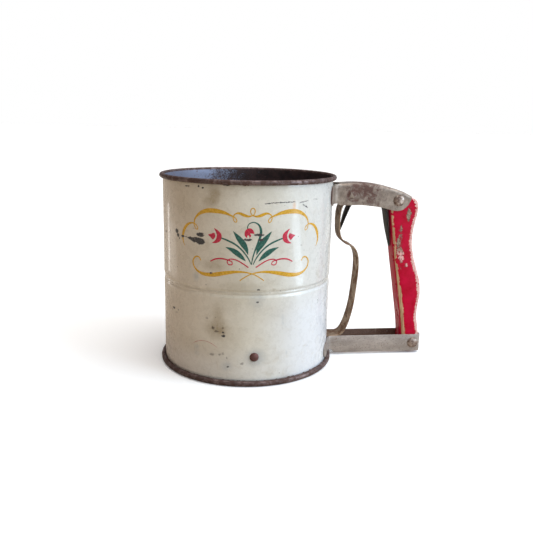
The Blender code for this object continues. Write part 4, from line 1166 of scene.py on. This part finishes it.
TEAL_STROKES = (
    ((0.6, 85.2, 0.5), (2.9, 89.8, 0.8), (6.8, 94.8, 1.0), (11.4, 98.5, 1.1), (16.6, 100.9, 1.1),
     (21.0, 102.3, 0.8)),
    ((2.8, 91.6, 0.2), (3.9, 95.2, 2.5), (6.0, 98.8, 3.9), (9.1, 102.7, 3.1), (12.6, 107.0, 0.2)),
    ((4.2, 87.4, 0.2), (7.2, 90.3, 2.7), (10.7, 93.1, 3.4), (14.0, 95.0, 2.2), (17.6, 96.3, 0.2)),
)
TEAL_HOOK = (
    ((-0.5, 85.0, 0.5), (0.3, 89.6, 0.8), (1.8, 94.6, 1.0), (3.7, 99.8, 1.2), (5.3, 104.6, 1.7),
     (5.3, 108.6, 1.6), (3.7, 111.7, 1.0), (0.7, 113.1, 0.7), (-2.0, 112.2, 0.6), (-3.2, 110.4, 0.6),
     (-3.2, 108.8, 0.6)),
)


def add_stroke(bm, stroke, proud, way=1):
    """Lay a closed thin ribbon of varying width on the can's wall. `way` -1 mirrors it."""
    path = smooth_path(stroke, 9)
    under = -0.08
    section = ((-1, under), (-1, proud * 0.6), (-0.85, proud), (0, proud), (0.85, proud), (1, proud * 0.6),
               (1, under), (0, under))
    rings = []
    for i, point in enumerate(path):
        side = side_of(path, i) * max(point.z, 0.12) / 2
        ring = []
        for across, lift in section:
            u, v = point.x + side.x * across, point.y + side.y * across
            ring.append(bm.verts.new(wall_point(ORNAMENT_MIDDLE + way * u, v, lift)))
        rings.append(ring)
    loft(bm, rings)


def make_ornament(finishes):
    """The printed ornament, a colour at a time. Where colours cross, the later one lies higher."""
    sets = (("ochre", OCHRE_STROKES, (OCHRE_LOOP,), 0.05), ("teal", TEAL_STROKES, TEAL_HOOK, 0.06),
            ("crimson", CRIMSON_STROKES, CRIMSON_BELL, 0.07))
    for colour, paired, single, proud in sets:
        bm = bmesh.new()
        for stroke in paired:
            add_stroke(bm, stroke, proud)
            add_stroke(bm, stroke, proud, -1)
        for stroke in single:
            add_stroke(bm, stroke, proud)
        finish_mesh("ornament_" + colour, bm, finishes[colour], "root", "enamel_can", (), 30)


# ---- CAD pieces that stay

def dress_cad(finishes):
    """Finishes for the CAD pieces that keep their own shape."""
    by_slot = {"enamel_can": "enamel", "bare_steel": "bare", "wire_cloth": "wire",
               "tinned_steel": "lower_bracket", "patina_steel": "trigger", "spring_steel": "spring",
               "rivet_steel": "rivet", "brass_bush": "brass", "red_wood": "grip"}
    for row in frame["record"]["subparts"]:
        finish = "rim" if row["node"].endswith("rim_wire") else by_slot[row["material_slot"]]
        materials = frame["nodes"][row["node"]].data.materials
        materials.clear()
        materials.append(finishes[finish])


# ---- stage

SKY_LEFT = (0.17, 0.11, 0.07, 1.0)
SKY_RIGHT = (0.40, 0.48, 0.58, 1.0)
WHITE = (1.0, 1.0, 1.0, 1.0)


def make_floor():
    """Wide pale floor, which throws a dimmer, warmer light back on the can than it shows itself."""
    bm = bmesh.new()
    bmesh.ops.create_grid(bm, x_segments=8, y_segments=8, size=40.0)
    mesh = bpy.data.meshes.new("floor")
    bm.to_mesh(mesh)
    bm.free()
    sh = Shader("pale_floor")
    tone = sh.noise(sh.scale(sh.position(), (0.02, 0.02, 0.02)), 1.0, 3)
    seen = sh.node("ShaderNodeLightPath").outputs["Is Camera Ray"]
    shown = sh.mix(tone, (0.95, 0.95, 0.95), (0.97, 0.97, 0.97))
    mesh.materials.append(sh.set(Base_Color=sh.mix(seen, (0.60, 0.52, 0.43), shown), Roughness=0.85,
                                 Emission_Color=WHITE, Emission_Strength=sh.times(seen, 0.13)))
    floor = bpy.data.objects.new("floor", mesh)
    link(floor)


def make_world():
    """Daylight that is cool on the right and dim and warm on the left, behind a white backdrop."""
    world = bpy.data.worlds.new("soft_daylight")
    bpy.context.scene.world = world
    world.use_nodes = True
    nodes, links = world.node_tree.nodes, world.node_tree.links
    direction = nodes.new("ShaderNodeTexCoord").outputs["Generated"]
    split = nodes.new("ShaderNodeSeparateXYZ")
    across = nodes.new("ShaderNodeMapRange")
    across.inputs["From Min"].default_value = -1.0
    ramp = nodes.new("ShaderNodeValToRGB")
    for element, colour in zip(ramp.color_ramp.elements, (SKY_LEFT, SKY_RIGHT)):
        element.color = colour
    sky = nodes["Background"]
    backdrop = nodes.new("ShaderNodeBackground")
    backdrop.inputs["Color"].default_value = WHITE
    seen = nodes.new("ShaderNodeLightPath").outputs["Is Camera Ray"]
    choice = nodes.new("ShaderNodeMixShader")
    for source, socket in ((direction, split.inputs[0]), (split.outputs[0], across.inputs["Value"]),
                           (across.outputs[0], ramp.inputs[0]), (ramp.outputs[0], sky.inputs["Color"]),
                           (seen, choice.inputs[0]), (sky.outputs[0], choice.inputs[1]),
                           (backdrop.outputs[0], choice.inputs[2]),
                           (choice.outputs[0], nodes["World Output"].inputs["Surface"])):
        links.new(source, socket)


def light_stage():
    """Soft daylight from above and from the right, with the can's upright highlights."""
    make_world()
    add_sun("overhead", (0.30, -0.14, 1.0), 2.5, 70, (1.0, 0.96, 0.90))
    add_window("window", (1.3, -0.7, 0.7), (0.9, 1.1), 19, (0.64, 0.82, 1.0))
    add_glint("window_glint", (0.194, -0.164, 0.093), (0.224, -0.112, 0.006), 0.040, 4.5, (0.68, 0.84, 1.0))
    add_glint("left_glint", (-0.224, 0.163, 0.089), (-0.224, 0.163, 0.012), 0.027, 2.4, (1.0, 0.98, 0.95))
    add_glint("left_sheen", (-0.261, 0.110, 0.069), (-0.261, 0.110, 0.006), 0.080, 0.7, (1.0, 0.97, 0.92))


def add_light(name, kind, power, colour):
    """Light of one kind, in watts (a sun's in watts a square metre)."""
    data = bpy.data.lights.new(name, kind)
    data.energy = power
    data.color = colour
    light = bpy.data.objects.new(name, data)
    link(light)
    return light


def add_panel(name, size, power, colour):
    """Rectangular light that the camera doesn't see."""
    panel = add_light(name, "AREA", power, colour)
    panel.data.shape = "RECTANGLE"
    panel.data.size, panel.data.size_y = size
    panel.visible_camera = False
    return panel


def add_window(name, place, size, power, colour):
    """Panel turned towards the middle of the sifter."""
    middle = AXIS + Vector((0.02, 0, 0.07))
    window = add_panel(name, size, power, colour)
    window.location = place
    window.rotation_euler = (middle - Vector(place)).to_track_quat("-Z", "Y").to_euler()


def add_glint(name, top, bottom, width, brightness, colour):
    """Upright strip that only shows as a reflection: the can's highlights. Its ends are given from
    the foot of the can's axis."""
    top, bottom = AXIS + Vector(top), AXIS + Vector(bottom)
    middle, length = (top + bottom) / 2, (top - bottom).length
    along = (top - bottom).normalized()
    towards = AXIS + Vector((0, 0, 0.05)) - middle
    back = -(towards - along * towards.dot(along)).normalized()
    glint = add_panel(name, (width, length), brightness * math.pi * width * length, colour)
    turn = Matrix((along.cross(back), along, back)).transposed()
    glint.matrix_world = Matrix.Translation(middle) @ turn.to_4x4()
    glint.visible_diffuse = False


def add_sun(name, direction, strength, softness, colour):
    """Sun in a direction, as wide across as `softness` degrees."""
    sun = add_light(name, "SUN", strength, colour)
    sun.data.angle = math.radians(softness)
    sun.rotation_euler = Vector(direction).to_track_quat("Z", "Y").to_euler()


def add_camera():
    """Slightly above and left of square on to the handle's side."""
    data = bpy.data.cameras.new("camera")
    data.lens = 40.64
    data.sensor_width = 36.0
    camera = bpy.data.objects.new("camera", data)
    heading, pitch, roll = (math.radians(angle) for angle in (6.906, -13.083, 1.177))
    level = math.cos(pitch)
    forward = Vector((math.sin(heading) * level, math.cos(heading) * level, math.sin(pitch)))
    camera.rotation_mode = "QUATERNION"
    camera.rotation_quaternion = forward.to_track_quat("-Z", "Y") @ Quaternion((0, 0, 1), roll)
    camera.location = AXIS + Vector((-0.03902, -0.44335, 0.17318))
    link(camera)
    bpy.context.scene.camera = camera


# ---- build

finishes = all_finishes()
dress_cad(finishes)
make_can(finishes)
make_body_rivets(finishes["body_rivet"])
for screen in ("lower", "middle", "upper"):
    make_screen(screen, finishes)
    make_agitator(screen, finishes["bare"])
make_spindle_nut(finishes["bare"])
make_lower_bracket(finishes["lower_bracket"])
make_top_bracket(finishes["top_bracket"])
make_trigger(finishes["trigger"])
make_spring(finishes["spring"])
make_grip(finishes["grip"])
make_cross_rivet("handle_top_rivet", 4.3, 1.7, finishes["rivet"])
make_cross_rivet("handle_lower_rivet", 4.3, 1.7, finishes["rivet"])
make_cross_rivet("trigger_pivot_pin", 3.0, 0.6, finishes["top_bracket"])
make_ornament(finishes)
make_floor()
light_stage()
add_camera()
bpy.context.scene.view_settings.view_transform = "Standard"
